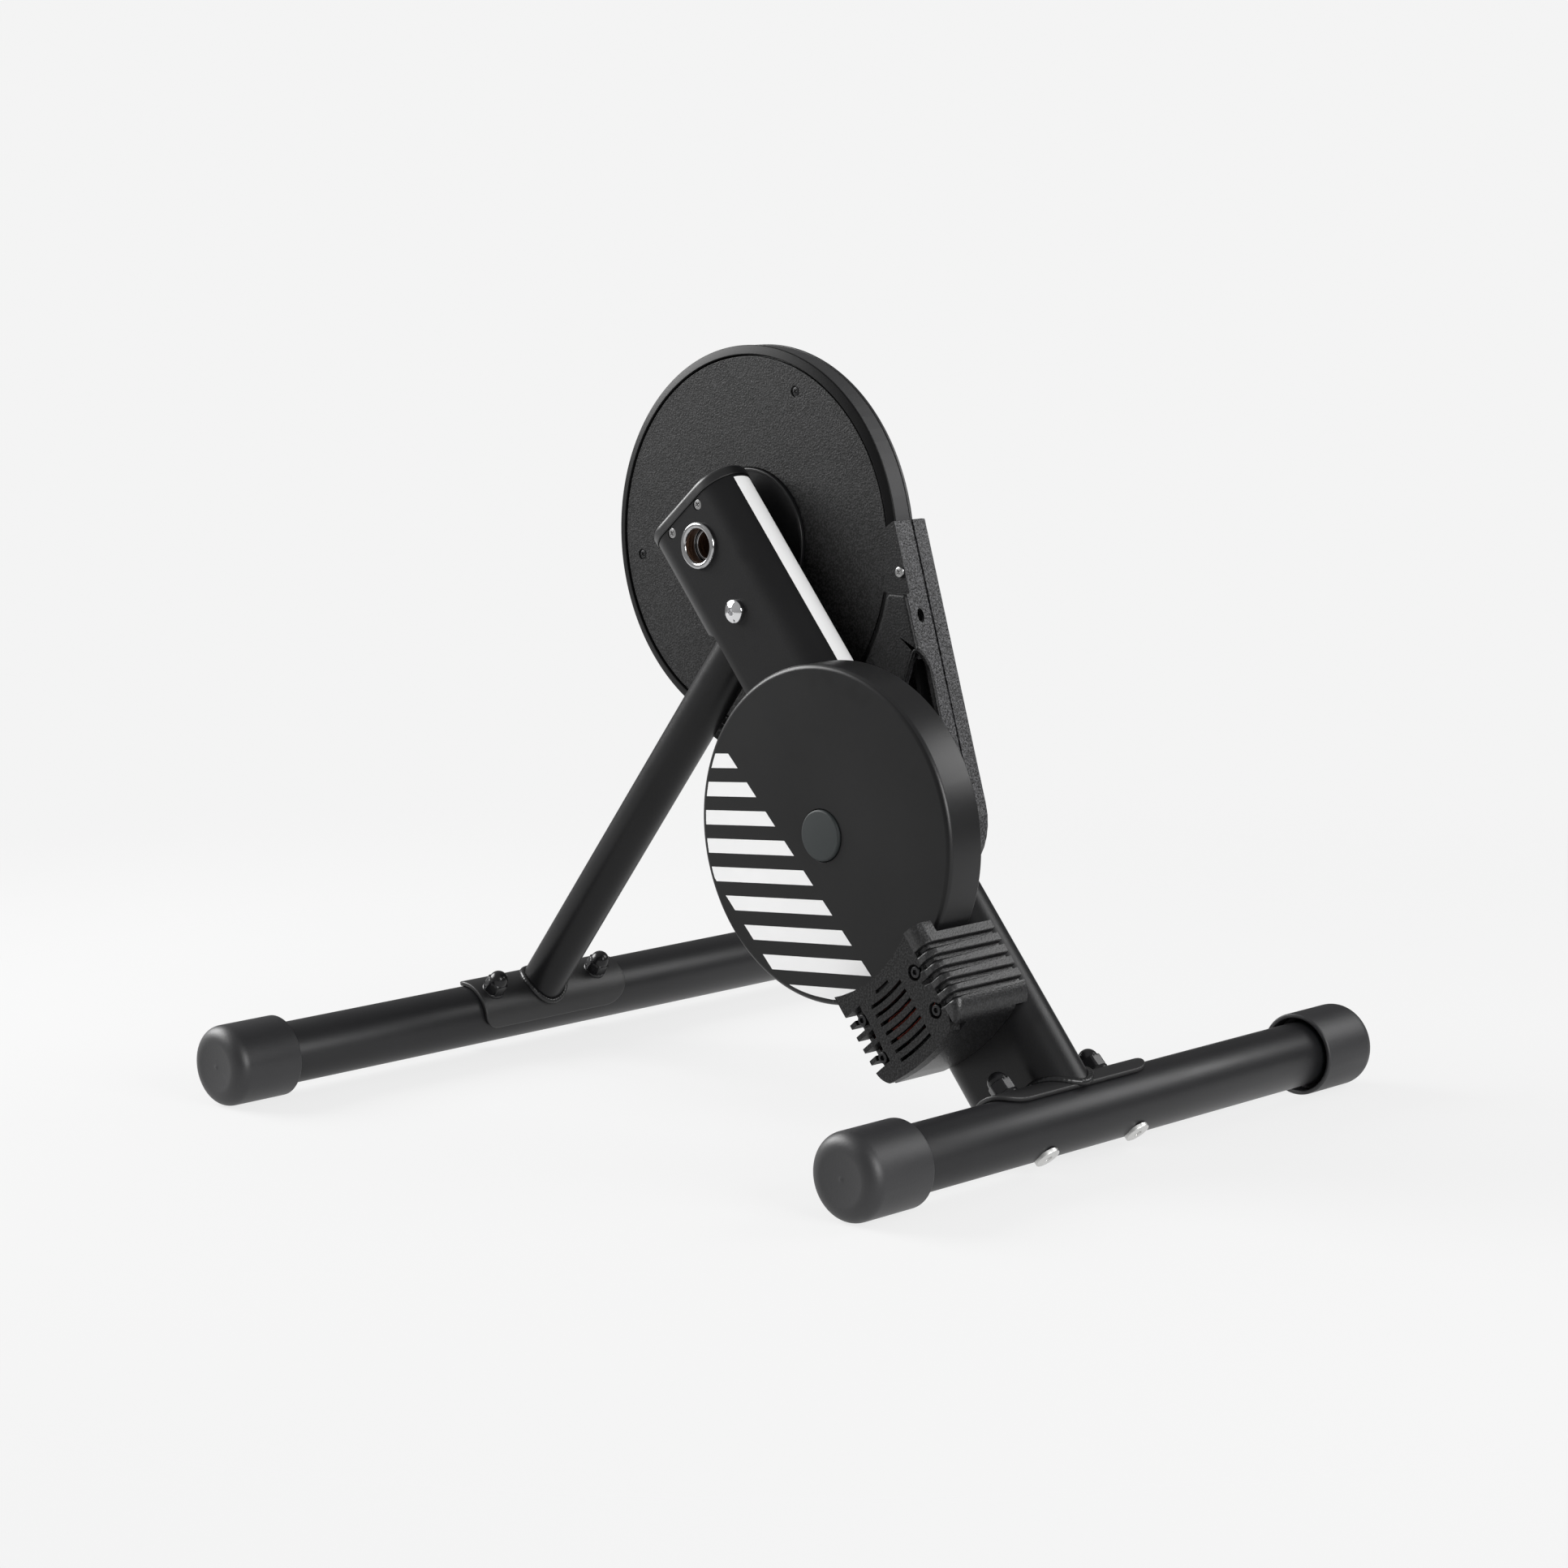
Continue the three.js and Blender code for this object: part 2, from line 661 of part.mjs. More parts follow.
// Saddle plates: strips with round ends, bent over the base tubes. The rear one has a tongue that
// closes the arm's foot where it reaches in front of the tube.
function saddlePlate(span, middle, corners, boltSpacing) {
  const length = span / 2 + overrun;
  const shell = ring(saddleOuter, saddleInner, middle - length, middle + length);
  const halfWidth = saddleOuter * Math.sin(saddleWrap / 2);
  const reach = saddleOuter + overrun;
  const [left, right] = corners;
  const outline = rounded([
    [-halfWidth, middle - span / 2],
    [halfWidth, middle - span / 2],
    [halfWidth, middle + span / 2],
    [-halfWidth, middle + span / 2],
  ], [right, right, left, left]);
  const edge = [reach * 2 * Math.sin(saddleWrap / 2), reach * 2 * Math.cos(saddleWrap / 2)];
  const under = plate(rounded(
    [[0, 0], [-edge[0], edge[1]], [-edge[0], -reach * 2], [edge[0], -reach * 2], edge],
    [0, 0, 0, 0, 0],
  ), middle - length * 2, middle + length * 2);
  let body = shell.intersect(bar(outline, 0, reach)).subtract(under);
  [-1, 1].forEach((side) => {
    const hole = upright(rod(boltRadius + restGap, 0, reach))
      .translate([0, armMiddle + side * boltSpacing / 2, 0]);
    body = body.subtract(hole);
  });
  return body;
}
const frontSaddleMiddle = armMiddle + frontSaddleShift;
const frontSaddleBody = saddlePlate(frontSaddleSpan, frontSaddleMiddle, frontSaddleCorners, frontBoltSpacing);
frontGroup.add(piece('front_saddle', frontSaddleBody, 'satinBlack'));

function rearSaddle() {
  const shell = saddlePlate(rearSaddleSpan, armMiddle, rearSaddleCorners, rearBoltSpacing);
  const turn = THREE.MathUtils.radToDeg(rearGroup.rotation.y);
  const footFront = armDepth / 2 - rearTubeInArm.x;
  const leanedReach = (footFront - armFootDrop * Math.cos(armLean)) / Math.sin(armLean);
  const top = -armFootDrop - restGap;
  const outline = rounded(
    [[0, armRightFace], [leanedReach, armRightFace], [leanedReach, armLeftFace], [0, armLeftFace]],
    [0, armWidth / 2 - restGap, armWidth / 2 - restGap, 0],
  );
  const tongue = bar(outline, top - tongueThickness, top).rotate([0, -turn, 0]);
  const midShell = saddleInner + saddleThickness / 2;
  const tubeSpace = rod(midShell, armRightFace - overrun, armLeftFace + overrun, tubeSteps);
  return shell.add(tongue.subtract(tubeSpace));
}
rearGroup.add(piece('rear_saddle', rearSaddle(), 'satinBlack'));

// Base bolts and acorn nuts: the bolt's flat round head is under the tube and its nut on the saddle
function baseBolt() {
  const under = -tubeRadius - restGap;
  const lowest = under - boltHeadHeight;
  const tip = saddleOuter + nutBoreDepth;
  return upright(turned([
    [0, lowest + boltSocketDepth],
    [boltSocketRadius, lowest + boltSocketDepth],
    [boltSocketRadius, lowest],
    [boltHeadRadius - boltHeadHeight / 3, lowest],
    [boltHeadRadius, lowest + boltHeadHeight / 2],
    [boltHeadRadius, under],
    [boltRadius, under],
    [boltRadius, tip],
    [0, tip],
  ], smallSteps));
}
function acornNut() {
  const seat = saddleOuter + restGap;
  const domeBase = seat + nutHexHeight;
  const dome = quarterTurn(nutDomeRadius, (across, up) => [across, domeBase + up]);
  const body = upright(turned([[0, seat], [nutDomeRadius, seat], ...dome], smallSteps))
    .add(bar(hexagon(nutFlatRadius), seat, domeBase));
  return body.subtract(upright(rod(boltRadius + restGap, 0, seat + nutBoreDepth)));
}
function boltsAndNuts(group, place, spacing) {
  [['left', 1], ['right', -1]].forEach(([side, sign]) => {
    const along = armMiddle + sign * spacing / 2;
    const bolt = piece(`${place}_bolt_${side}`, baseBolt(), place === 'rear' ? 'brightSteel' : 'darkSteel');
    bolt.position.set(0, along, 0);
    group.add(bolt);
    const nut = piece(`${place}_nut_${side}`, acornNut(), 'blackScrew');
    nut.position.set(0, along, 0);
    group.add(nut);
  });
}
boltsAndNuts(frontGroup, 'front', frontBoltSpacing);
boltsAndNuts(rearGroup, 'rear', rearBoltSpacing);

// Base tubes, drilled for their bolts, and the rubber caps on their ends
function baseTube(length, boltSpacing) {
  const half = length / 2 - capEndThickness - restGap;
  let tube = ring(tubeRadius, tubeRadius - tubeWall, -half, half);
  [-1, 1].forEach((side) => {
    const along = armMiddle + side * boltSpacing / 2;
    const hole = upright(rod(boltRadius + restGap, -capRadius, capRadius)).translate([0, along, 0]);
    tube = tube.subtract(hole);
  });
  return tube;
}
function endCap(length) {
  const outer = length / 2;
  const mouth = outer - capLength;
  const bore = tubeRadius + restGap;
  const edge = quarterTurn(capRounding, (across, up) => [
    capRadius - capRounding + across,
    outer - capRounding + up,
  ]);
  const floor = outer - capEndThickness;
  const inside = [[0, floor], [bore, floor], [bore, mouth], [capRadius, mouth]];
  return turned([...inside, ...edge, [0, outer]], tubeSteps);
}
[
  ['front', frontBaseLength, frontBoltSpacing, frontGroup, frontTubeCentre],
  ['rear', rearBaseLength, rearBoltSpacing, rearGroup, rearTubeCentre],
].forEach(([place, length, spacing, group, centre]) => {
  group.add(piece(`${place}_base_tube`, baseTube(length, spacing), 'satinBlack'));
  const left = piece(`${place}_cap_left`, endCap(length), 'rubber');
  left.position.copy(centre);
  trainer.add(left);
  const right = piece(`${place}_cap_right`, endCap(length).mirror([0, 1, 0]), 'rubber');
  right.position.copy(centre);
  trainer.add(right);
});

// Axle bush: the bright ring proud of the arm's left face, right through both walls
function axleBush() {
  return turned([
    [bushRadius, bushRightFace],
    [bushRadius, bushLeftFace - bushChamfer],
    [bushRadius - bushChamfer, bushLeftFace],
    [bushBoreRadius + bushChamfer, bushLeftFace],
    [bushBoreRadius, bushLeftFace - bushChamfer],
    [bushBoreRadius, bushRightFace],
  ], tubeSteps);
}
wheels.add(piece('axle_bush', axleBush(), 'brightSteel'));

// Hollow axle and the spacer on its right end, where the right dropout bears
wheels.add(piece('hollow_axle', ring(axleRadius, axleBoreRadius, axleRightEnd, axleLeftEnd), 'brightSteel'));
function endSpacer() {
  const face = -dropoutSpacing / 2;
  const shoulder = axleRightEnd - restGap;
  const spigot = axleBoreRadius - restGap;
  return turned([
    [endSpacerRadius, face],
    [endSpacerRadius, shoulder],
    [spigot, shoulder],
    [spigot, shoulder + endSpacerSpigot],
    [endSpacerBoreRadius, shoulder + endSpacerSpigot],
    [endSpacerBoreRadius, face],
  ], tubeSteps);
}
wheels.add(piece('axle_end_spacer', endSpacer(), 'darkSteel'));

// Big pulley: flanged rim, web and hub in one casting, with a seat for its cover and bearings
const webFront = pulleyFace - webSunk;
const ledge = pulleyFace - coverSunk - coverThickness - restGap;
const bearingBore = wheelBearingRadius + restGap;
const hubBack = pulleyBack - ratchetLength / 2;
function drivePulley() {
  const body = turned([
    [flangeRadius, pulleyBack],
    [flangeRadius, pulleyBack + flangeWidth],
    [beltSeatRadius, pulleyBack + flangeWidth],
    [beltSeatRadius, pulleyFace - flangeWidth],
    [flangeRadius, pulleyFace - flangeWidth],
    [flangeRadius, pulleyFace],
    [coverRadius + restGap, pulleyFace],
    [coverRadius + restGap, ledge],
    [rimInnerRadius, ledge],
    [rimInnerRadius, webFront],
    [hubRadius, webFront],
    [hubRadius, ledge],
    [bearingBore, ledge],
    [bearingBore, hubBack],
    [hubRadius, hubBack],
    [hubRadius, webFront - webThickness],
    [rimInnerRadius, webFront - webThickness],
    [rimInnerRadius, pulleyBack],
  ], wheelSteps);
  return coverScrewPlaces().reduce((whole, [x, z]) => {
    const webBack = webFront - webThickness;
    const boss = rod(coverScrewRadius * 2, webBack, ledge, screwSteps);
    const hole = rod(coverScrewShankRadius + restGap, webBack - overrun, pulleyFace, screwSteps);
    return whole.add(boss.translate([x, 0, z])).subtract(hole.translate([x, 0, z]));
  }, body);
}
function coverScrewPlaces() {
  const places = [];
  for (let i = 0; i < coverScrewCount; i += 1) {
    const angle = coverScrewStart + i * 2 * Math.PI / coverScrewCount;
    places.push([coverScrewCircle * Math.cos(angle), coverScrewCircle * Math.sin(angle)]);
  }
  return places;
}
wheels.add(piece('drive_pulley', drivePulley(), 'castBlack'));

// Pulley cover: a thin grained disc in the rim, held by three countersunk screws
function pulleyCover() {
  const front = pulleyFace - coverSunk;
  const disc = ring(coverRadius, hubCoverRadius + restGap, front - coverThickness, front, wheelSteps);
  return coverScrewPlaces().reduce((whole, [x, z]) => {
    const hole = turned([
      [0, front - coverThickness - overrun],
      [coverScrewShankRadius + restGap, front - coverThickness - overrun],
      [coverScrewShankRadius + restGap, front - coverScrewHeadHeight - restGap],
      [coverScrewRadius + restGap, front - restGap],
      [coverScrewRadius + restGap, front + overrun],
      [0, front + overrun],
    ], screwSteps);
    return whole.subtract(hole.translate([x, 0, z]));
  }, disc);
}
wheels.add(piece('pulley_cover', pulleyCover(), 'grainedBlack'));
function coverScrew() {
  const front = pulleyFace - coverSunk;
  return turned([
    [0, front - coverScrewLength],
    [coverScrewShankRadius, front - coverScrewLength],
    [coverScrewShankRadius, front - coverScrewHeadHeight],
    [coverScrewRadius, front],
    [0, front],
  ], screwSteps);
}
coverScrewPlaces().forEach(([x, z], i) => {
  const screw = piece(`cover_screw_${i + 1}`, coverScrew(), 'blackScrew');
  screw.position.set(x, 0, z);
  wheels.add(screw);
});

// Hub cover: the smooth dark disc round the axle
function hubCover() {
  const back = pulleyFace - coverSunk - coverThickness;
  const front = pulleyFace + hubCoverProud;
  return turned([
    [hubCoverRadius, back],
    [hubCoverRadius, front - hubCoverProud / 2],
    [hubCoverRadius - hubCoverProud / 2, front],
    [bushRadius + runningGap, front],
    [bushRadius + runningGap, back],
  ], wheelSteps);
}
wheels.add(piece('hub_cover', hubCover(), 'smoothPlastic'));

// Bearings between the hollow axle and the pulley
const bearingInner = axleRadius + restGap;
const leftBearingFace = ledge - restGap;
[['left', leftBearingFace], ['right', hubBack + restGap + wheelBearingWidth]].forEach(([side, face]) => {
  const body = ring(wheelBearingRadius, bearingInner, face - wheelBearingWidth, face);
  wheels.add(piece(`wheel_bearing_${side}`, body, 'bearingSteel'));
});

// Ratchet: the saw-toothed ring on the pulley's hub that drives only one way
const ratchetFace = hubBack - restGap;
function ratchetRing() {
  const shape = new THREE.Shape();
  for (let i = 0; i < ratchetTeeth; i += 1) {
    const root = i / ratchetTeeth * 2 * Math.PI;
    const tip = (i + 1) / ratchetTeeth * 2 * Math.PI;
    const rootRadius = ratchetRadius - ratchetToothDepth;
    if (i === 0) shape.moveTo(rootRadius * Math.cos(root), rootRadius * Math.sin(root));
    else shape.lineTo(rootRadius * Math.cos(root), rootRadius * Math.sin(root));
    shape.lineTo(ratchetRadius * Math.cos(tip), ratchetRadius * Math.sin(tip));
  }
  shape.closePath();
  return plate(shape, ratchetFace - ratchetLength, ratchetFace)
    .subtract(rod(bearingInner, ratchetFace - ratchetLength * 2, ratchetFace + overrun, tubeSteps));
}
wheels.add(piece('ratchet_ring', ratchetRing(), 'darkSteel'));

// Freehub body: the splined sleeve that carries the sprockets, whose end runs clear of the ratchet
const freehubRight = axleRightEnd + restGap;
const freehubLeft = ratchetFace - ratchetLength - runningGap;
function freehubBody() {
  const shape = new THREE.Shape();
  const pitch = 2 * Math.PI / freehubSplineCount;
  for (let i = 0; i < freehubSplineCount; i += 1) {
    const start = i * pitch;
    const edge = start + pitch * freehubSplineShare;
    shape.absarc(0, 0, freehubRadius + freehubSplineHeight, start, edge, false);
    shape.absarc(0, 0, freehubRadius, edge, start + pitch, false);
  }
  shape.closePath();
  const sleeve = plate(shape, freehubRight, freehubLeft, slotSteps);
  const bore = rod(freehubBoreRadius, freehubRight - overrun, freehubLeft + overrun, tubeSteps);
  return sleeve.subtract(bore);
}
wheels.add(piece('freehub_body', freehubBody(), 'darkSteel'));
const freehubBearingBody = ring(
  freehubBoreRadius - restGap,
  bearingInner,
  freehubRight + restGap,
  freehubRight + restGap + freehubBearingLength,
);
wheels.add(piece('freehub_bearing', freehubBearingBody, 'bearingSteel'));

// Flywheel: a heavy rim, a web flush with its face and a hub, with a shallow seat for the centre cap
function flywheel() {
  const edge = quarterTurn(flywheelRounding, (across, up) => [
    flywheelRadius - flywheelRounding + across,
    flywheelFace - flywheelRounding + up,
  ]);
  return turned([
    [flywheelRadius, flywheelBack],
    ...edge,
    [flywheelCapRadius + restGap, flywheelFace],
    [flywheelCapRadius + restGap, flywheelFace - flywheelCapDepth],
    [shaftRadius + restGap, flywheelFace - flywheelCapDepth],
    [shaftRadius + restGap, flywheelBack],
    [flywheelHubRadius, flywheelBack],
    [flywheelHubRadius, flywheelFace - flywheelWebThickness],
    [flywheelRimInner, flywheelFace - flywheelWebThickness],
    [flywheelRimInner, flywheelBack],
  ], wheelSteps);
}
flywheelGroup.add(piece('flywheel', flywheel(), 'flywheelBlack'));
const centreCapBack = flywheelFace - flywheelCapDepth + restGap;
const centreCapBody = turned([
  [0, centreCapBack],
  [flywheelCapRadius, centreCapBack],
  [flywheelCapRadius, flywheelFace + flywheelCapProud / 2],
  [flywheelCapRadius - flywheelCapProud / 2, flywheelFace + flywheelCapProud],
  [0, flywheelFace + flywheelCapProud],
], tubeSteps);
flywheelGroup.add(piece('flywheel_cap', centreCapBody, 'capGrey'));

// Flywheel shaft, the sleeve welded through the arm, its two bearings and the small pulley
const shaftRightEnd = pulleyBack - restGap;
const shaftBody = rod(shaftRadius, shaftRightEnd, flywheelFace - shaftEndSunk, tubeSteps);
flywheelGroup.add(piece('flywheel_shaft', shaftBody, 'bearingSteel'));
const sleeveLeft = flywheelBack - runningGap * 2;
const sleeveBody = ring(sleeveRadius, shaftBearingRadius + restGap, armRightFace, sleeveLeft);
flywheelGroup.add(piece('bearing_sleeve', sleeveBody, 'satinBlack'));
[['left', sleeveLeft], ['right', armRightFace + shaftBearingWidth]].forEach(([side, face]) => {
  const body = ring(shaftBearingRadius, shaftRadius + restGap, face - shaftBearingWidth, face);
  flywheelGroup.add(piece(`shaft_bearing_${side}`, body, 'bearingSteel'));
});
function smallPulley() {
  return turned([
    [smallFlangeRadius, pulleyBack],
    [smallFlangeRadius, pulleyBack + smallFlangeWidth],
    [smallSeatRadius, pulleyBack + smallFlangeWidth],
    [smallSeatRadius, pulleyFace - smallFlangeWidth],
    [smallFlangeRadius, pulleyFace - smallFlangeWidth],
    [smallFlangeRadius, pulleyFace],
    [shaftRadius + restGap, pulleyFace],
    [shaftRadius + restGap, pulleyBack],
  ], tubeSteps);
}
flywheelGroup.add(piece('small_pulley', smallPulley(), 'darkSteel'));

// An outline round two circles, the big one at the origin and the small one at the flywheel, joined
// by their outer tangents, in the arm's x, z plane
const centreLine = Math.atan2(-flywheelDrop, -flywheelSetback);
const centreDistance = Math.hypot(flywheelDrop, flywheelSetback);
function beltOutline(big, small, steps) {
  const spread = Math.acos((big - small) / centreDistance);
  const shape = new THREE.Shape();
  const bigTurn = 2 * Math.PI - 2 * spread;
  for (let i = 0; i <= steps; i += 1) {
    const angle = centreLine + spread + bigTurn * i / steps;
    if (i === 0) shape.moveTo(big * Math.cos(angle), big * Math.sin(angle));
    else shape.lineTo(big * Math.cos(angle), big * Math.sin(angle));
  }
  const smallCount = Math.ceil(steps / 4);
  for (let i = 0; i <= smallCount; i += 1) {
    const angle = centreLine - spread + 2 * spread * i / smallCount;
    shape.lineTo(-flywheelSetback + small * Math.cos(angle), -flywheelDrop + small * Math.sin(angle));
  }
  shape.closePath();
  return shape;
}

// Drive belt round both pulleys, between their flanges
function driveBelt() {
  const from = pulleyBack + flangeWidth + restGap;
  const to = pulleyFace - flangeWidth - restGap;
  const outer = beltOutline(beltInner + beltThickness, smallBeltInner + beltThickness, wheelSteps);
  const inner = beltOutline(beltInner, smallBeltInner, wheelSteps);
  return plate(outer, from, to).subtract(plate(inner, from - overrun, to + overrun));
}
arm.add(piece('drive_belt', driveBelt(), 'belt'));

// The belt guard's side view: outside the pulley's rim and inside the tangent outline
function guardArea(outerInset, innerRadius, from, to) {
  const outline = beltOutline(guardBigRadius - outerInset, guardSmallRadius - outerInset, wheelSteps);
  const pulleySpace = rod(innerRadius, from - overrun, to + overrun, wheelSteps);
  return plate(outline, from, to).subtract(pulleySpace);
}
// The guard stays below its top on the rear run and behind its end on the front run
function guardTrimmed(body) {
  const reach = guardBigRadius * 2;
  const lean = THREE.MathUtils.radToDeg(Math.PI / 2 - armLean);
  const above = block([-reach, -reach, guardTopAboveAxle], [reach, reach, reach])
    .rotate([0, -lean, 0]);
  const ahead = block([0, -reach, -reach], [reach, reach, reach])
    .rotate([0, -THREE.MathUtils.radToDeg(guardFrontEnd) - 90 - lean, 0]);
  return body.subtract(above).subtract(ahead);
}

// The guard's screw lies just off the belt's rear run, and the web steps up a little below it
const beltBack = centreLine - Math.acos((beltInner - smallBeltInner) / centreDistance);
const offAxle = beltInner + beltThickness + guardScrewOffBelt;
const guardScrewInArm = new THREE.Vector3(
  offAxle * Math.cos(beltBack) - guardScrewAlongBelt * Math.sin(beltBack),
  0,
  offAxle * Math.sin(beltBack) + guardScrewAlongBelt * Math.cos(beltBack),
);
const guardScrewAboveAxle = guardScrewInArm.z * Math.sin(armLean) - guardScrewInArm.x * Math.cos(armLean);
const guardStepBelowAxle = guardStepBelowScrew - guardScrewAboveAxle;
const atGuardScrew = (body) => body.translate([guardScrewInArm.x, 0, guardScrewInArm.z]);

// Near half: side web with a stepped top, rear wall with an oval hole, a pocket and arm bosses
function guardNearHalf() {
  const lean = THREE.MathUtils.radToDeg(Math.PI / 2 - armLean);
  const reach = guardBigRadius * 2;
  const shell = guardArea(0, guardWebRadius, guardSeam + restGap / 2, guardFront)
    .subtract(guardArea(guardWall, guardWebRadius - overrun, guardSeam - overrun, guardFront - guardWall));
  const step = block(
    [-reach, guardFront - guardStepDepth, -guardStepBelowAxle],
    [0, guardFront + overrun, reach],
  ).rotate([0, -lean, 0]);
  const lipBack = pulleyFace + runningGap;
  const lip = guardArea(0, guardLipRadius, lipBack, guardFront - guardStepDepth)
    .subtract(block([-reach, lipBack - overrun, -reach], [reach, guardFront, -guardStepBelowAxle])
      .rotate([0, -lean, 0]));
  const bossTop = guardFront - guardStepDepth;
  const screwBoss = atGuardScrew(rod(guardScrewBossRadius, guardSeam + restGap / 2, bossTop, screwSteps));
  const screwHole = atGuardScrew(
    rod(guardScrewShankRadius + restGap, guardSeam - overrun, guardFront + overrun, screwSteps),
  );
  const oval = block(
    [-guardBigRadius - overrun * 4, ovalHoleSide - ovalHoleRadius, -ovalHoleBelowAxle - ovalHoleLength / 2],
    [-guardBigRadius, ovalHoleSide + ovalHoleRadius, -ovalHoleBelowAxle + ovalHoleLength / 2],
  ).rotate([0, -lean, 0]);
  const pocket = plate(rounded([
    [pocketTopForward, -pocketTopBelowAxle],
    [pocketRearForward, -pocketBottomBelowAxle],
    [pocketFrontForward, -pocketBottomBelowAxle],
  ], [pocketCorner, pocketCorner, pocketCorner]), guardFront - guardWall * 2, guardFront + overrun)
    .rotate([0, -lean, 0]);
  const sideInner = guardFront - guardWall;
  const shaftHole = rod(guardShaftHoleRadius, sideInner - overrun, guardFront + overrun, tubeSteps)
    .translate([-flywheelSetback, 0, -flywheelDrop]);
  const bosses = [guardUpperBossAboveFlywheel, -guardLowerBossBelowFlywheel].map((rise) => rod(
    guardBossRadius,
    guardFront - guardWall / 2,
    armRightFace - restGap,
    screwSteps,
  ).translate([0, 0, rise - flywheelDrop]));
  return bosses.reduce(
    (whole, boss) => whole.add(boss),
    guardTrimmed(shell.subtract(step).add(lip))
      .subtract(oval)
      .subtract(pocket)
      .subtract(shaftHole)
      .add(screwBoss),
  ).subtract(screwHole);
}
arm.add(piece('guard_near_half', guardNearHalf(), 'grainedBlack'));

// Far half: the same outline, closed on the right side
function guardFarHalf() {
  const shell = guardArea(0, guardWebRadius, guardBack, guardSeam - restGap / 2)
    .subtract(guardArea(guardWall, guardWebRadius - overrun, guardBack + guardWall, guardSeam + overrun));
  const screwBoss = atGuardScrew(rod(guardScrewBossRadius, guardBack, guardSeam - restGap / 2, screwSteps));
  const screwHole = atGuardScrew(
    rod(guardScrewShankRadius + restGap, guardBack + guardWall, guardSeam + overrun, screwSteps),
  );
  return guardTrimmed(shell).add(screwBoss).subtract(screwHole);
}
arm.add(piece('guard_far_half', guardFarHalf(), 'grainedBlack'));
function guardScrew() {
  const seat = guardFront - guardStepDepth + restGap;
  return turned([
    [0, seat - guardScrewLength],
    [guardScrewShankRadius, seat - guardScrewLength],
    [guardScrewShankRadius, seat],
    [guardScrewHeadRadius, seat],
    [guardScrewHeadRadius, seat + guardScrewHeadHeight / 2],
    [guardScrewHeadRadius / 2, seat + guardScrewHeadHeight],
    [0, seat + guardScrewHeadHeight],
  ], screwSteps);
}
const guardScrewMesh = piece('guard_screw', guardScrew(), 'brightSteel');
guardScrewMesh.position.copy(guardScrewInArm);
arm.add(guardScrewMesh);

// The brake is drawn about the flywheel's centre: x forward, z up along the arm. It has two poles.
const poleSides = [['rear', -1], ['front', 1]];
const brake = new THREE.Group();
brake.position.copy(flywheelCentre);
arm.add(brake);

// A side outline of the brake from its rear face to its front face, with a floor curved about the
// flywheel's centre, drawn in from all of them by an inset, and thickened along Y
function brakeSlab(rear, front, top, inset, corner, from, to) {
  const bottom = brakeCoverBottomRadius - inset;
  const corners = [
    [-rear + inset, -bottom],
    [front - inset, -bottom],
    [front - inset, -top],
    [-rear + inset, -top],
  ];
  const floor = rod(bottom, from - overrun, to + overrun, wheelSteps * 2);
  return plate(rounded(corners, [corner, corner, 0, 0]), from, to).intersect(floor);
}

// Brake body: the cast housing bolted to the arm, with its cooling ribs and the near prong
const brakeBlockFace = brakeNearFace + brakeBlockProud;
const brakeHeelFront = -(armDepth / 2 + restGap - flywheelSetback);
function brakeBody() {
  const heelFace = armLeftFace - brakeHeelInward;
  const rear = brakeRearDepth;
  const base = brakeSlab(rear, brakeHalfDepth, brakeProngTop, 0, brakeCorner, brakeSeat, brakeBodyTop);
  const heel = brakeSlab(rear, brakeHeelFront, brakeProngTop, 0, 0, heelFace, brakeSeat);
  const rimSpace = rod(brakeMouthRadius, heelFace - overrun, brakeBodyTop - flywheelRounding, wheelSteps);
  const nearSpace = rod(brakeMouthRadius, heelFace, brakeBodyTop + overrun, wheelSteps);
  const prongFront = brakeBlockDepth - rear;
  const prong = brakeSlab(rear, prongFront, brakeProngTop, 0, 0, brakeSeat, brakeBlockFace);
  const bevel = block(
    [-brakeBlockChamfer, -brakeBlockChamfer, -brakeCoverBottomRadius],
    [brakeBlockChamfer, brakeBlockChamfer, 0],
  ).rotate([0, 0, 45]).translate([-rear, brakeBlockFace, 0]);
  const cavityTop = brakeMouthRadius + brakeWall;
  const inside = brakeSlab(
    brakeHalfDepth,
    brakeHalfDepth,
    0,
    brakeWall,
    0,
    brakeSeat + brakeWall,
    brakeNearFace,
  ).subtract(rod(cavityTop, brakeSeat, brakeNearFace + overrun, wheelSteps));
  let body = base
    .subtract(nearSpace)
    .add(heel)
    .add(prong)
    .subtract(rimSpace)
    .subtract(bevel)
    .subtract(inside);
  for (let i = 0; i < ribCount; i += 1) {
    const middle = -ribTop - i * ribPitch;
    const groove = (low, high) => block(
      [low[0], low[1], middle - ribGrooveWidth / 2],
      [high[0], high[1], middle + ribGrooveWidth / 2],
    );
    body = body
      .subtract(groove(
        [-rear - overrun, heelFace - overrun],
        [-rear + ribGrooveDepth, brakeBlockFace + overrun],
      ))
      .subtract(groove(
        [-rear - overrun, brakeBlockFace - ribGrooveDepth],
        [prongFront + overrun, brakeBlockFace + overrun],
      ));
  }
  poleSides.forEach(([, side]) => {
    const centre = side * poleSpacing / 2;
    const across = poleWidth / 2 + restGap;
    const along = coreThickness / 2 + restGap;
    body = body.subtract(block(
      [centre - across, flywheelMiddle - along, -cavityTop - overrun],
      [centre + across, flywheelMiddle + along, -brakeProngTop],
    ));
  });
  const inlet = rod(inletBarrelRadius + restGap, -overrun, overrun).rotate([0, 0, 90]);
  return body.subtract(inlet.translate([brakeHalfDepth, inletAcross, -inletDrop]));
}
brake.add(piece('brake_body', brakeBody(), 'castBlack'));

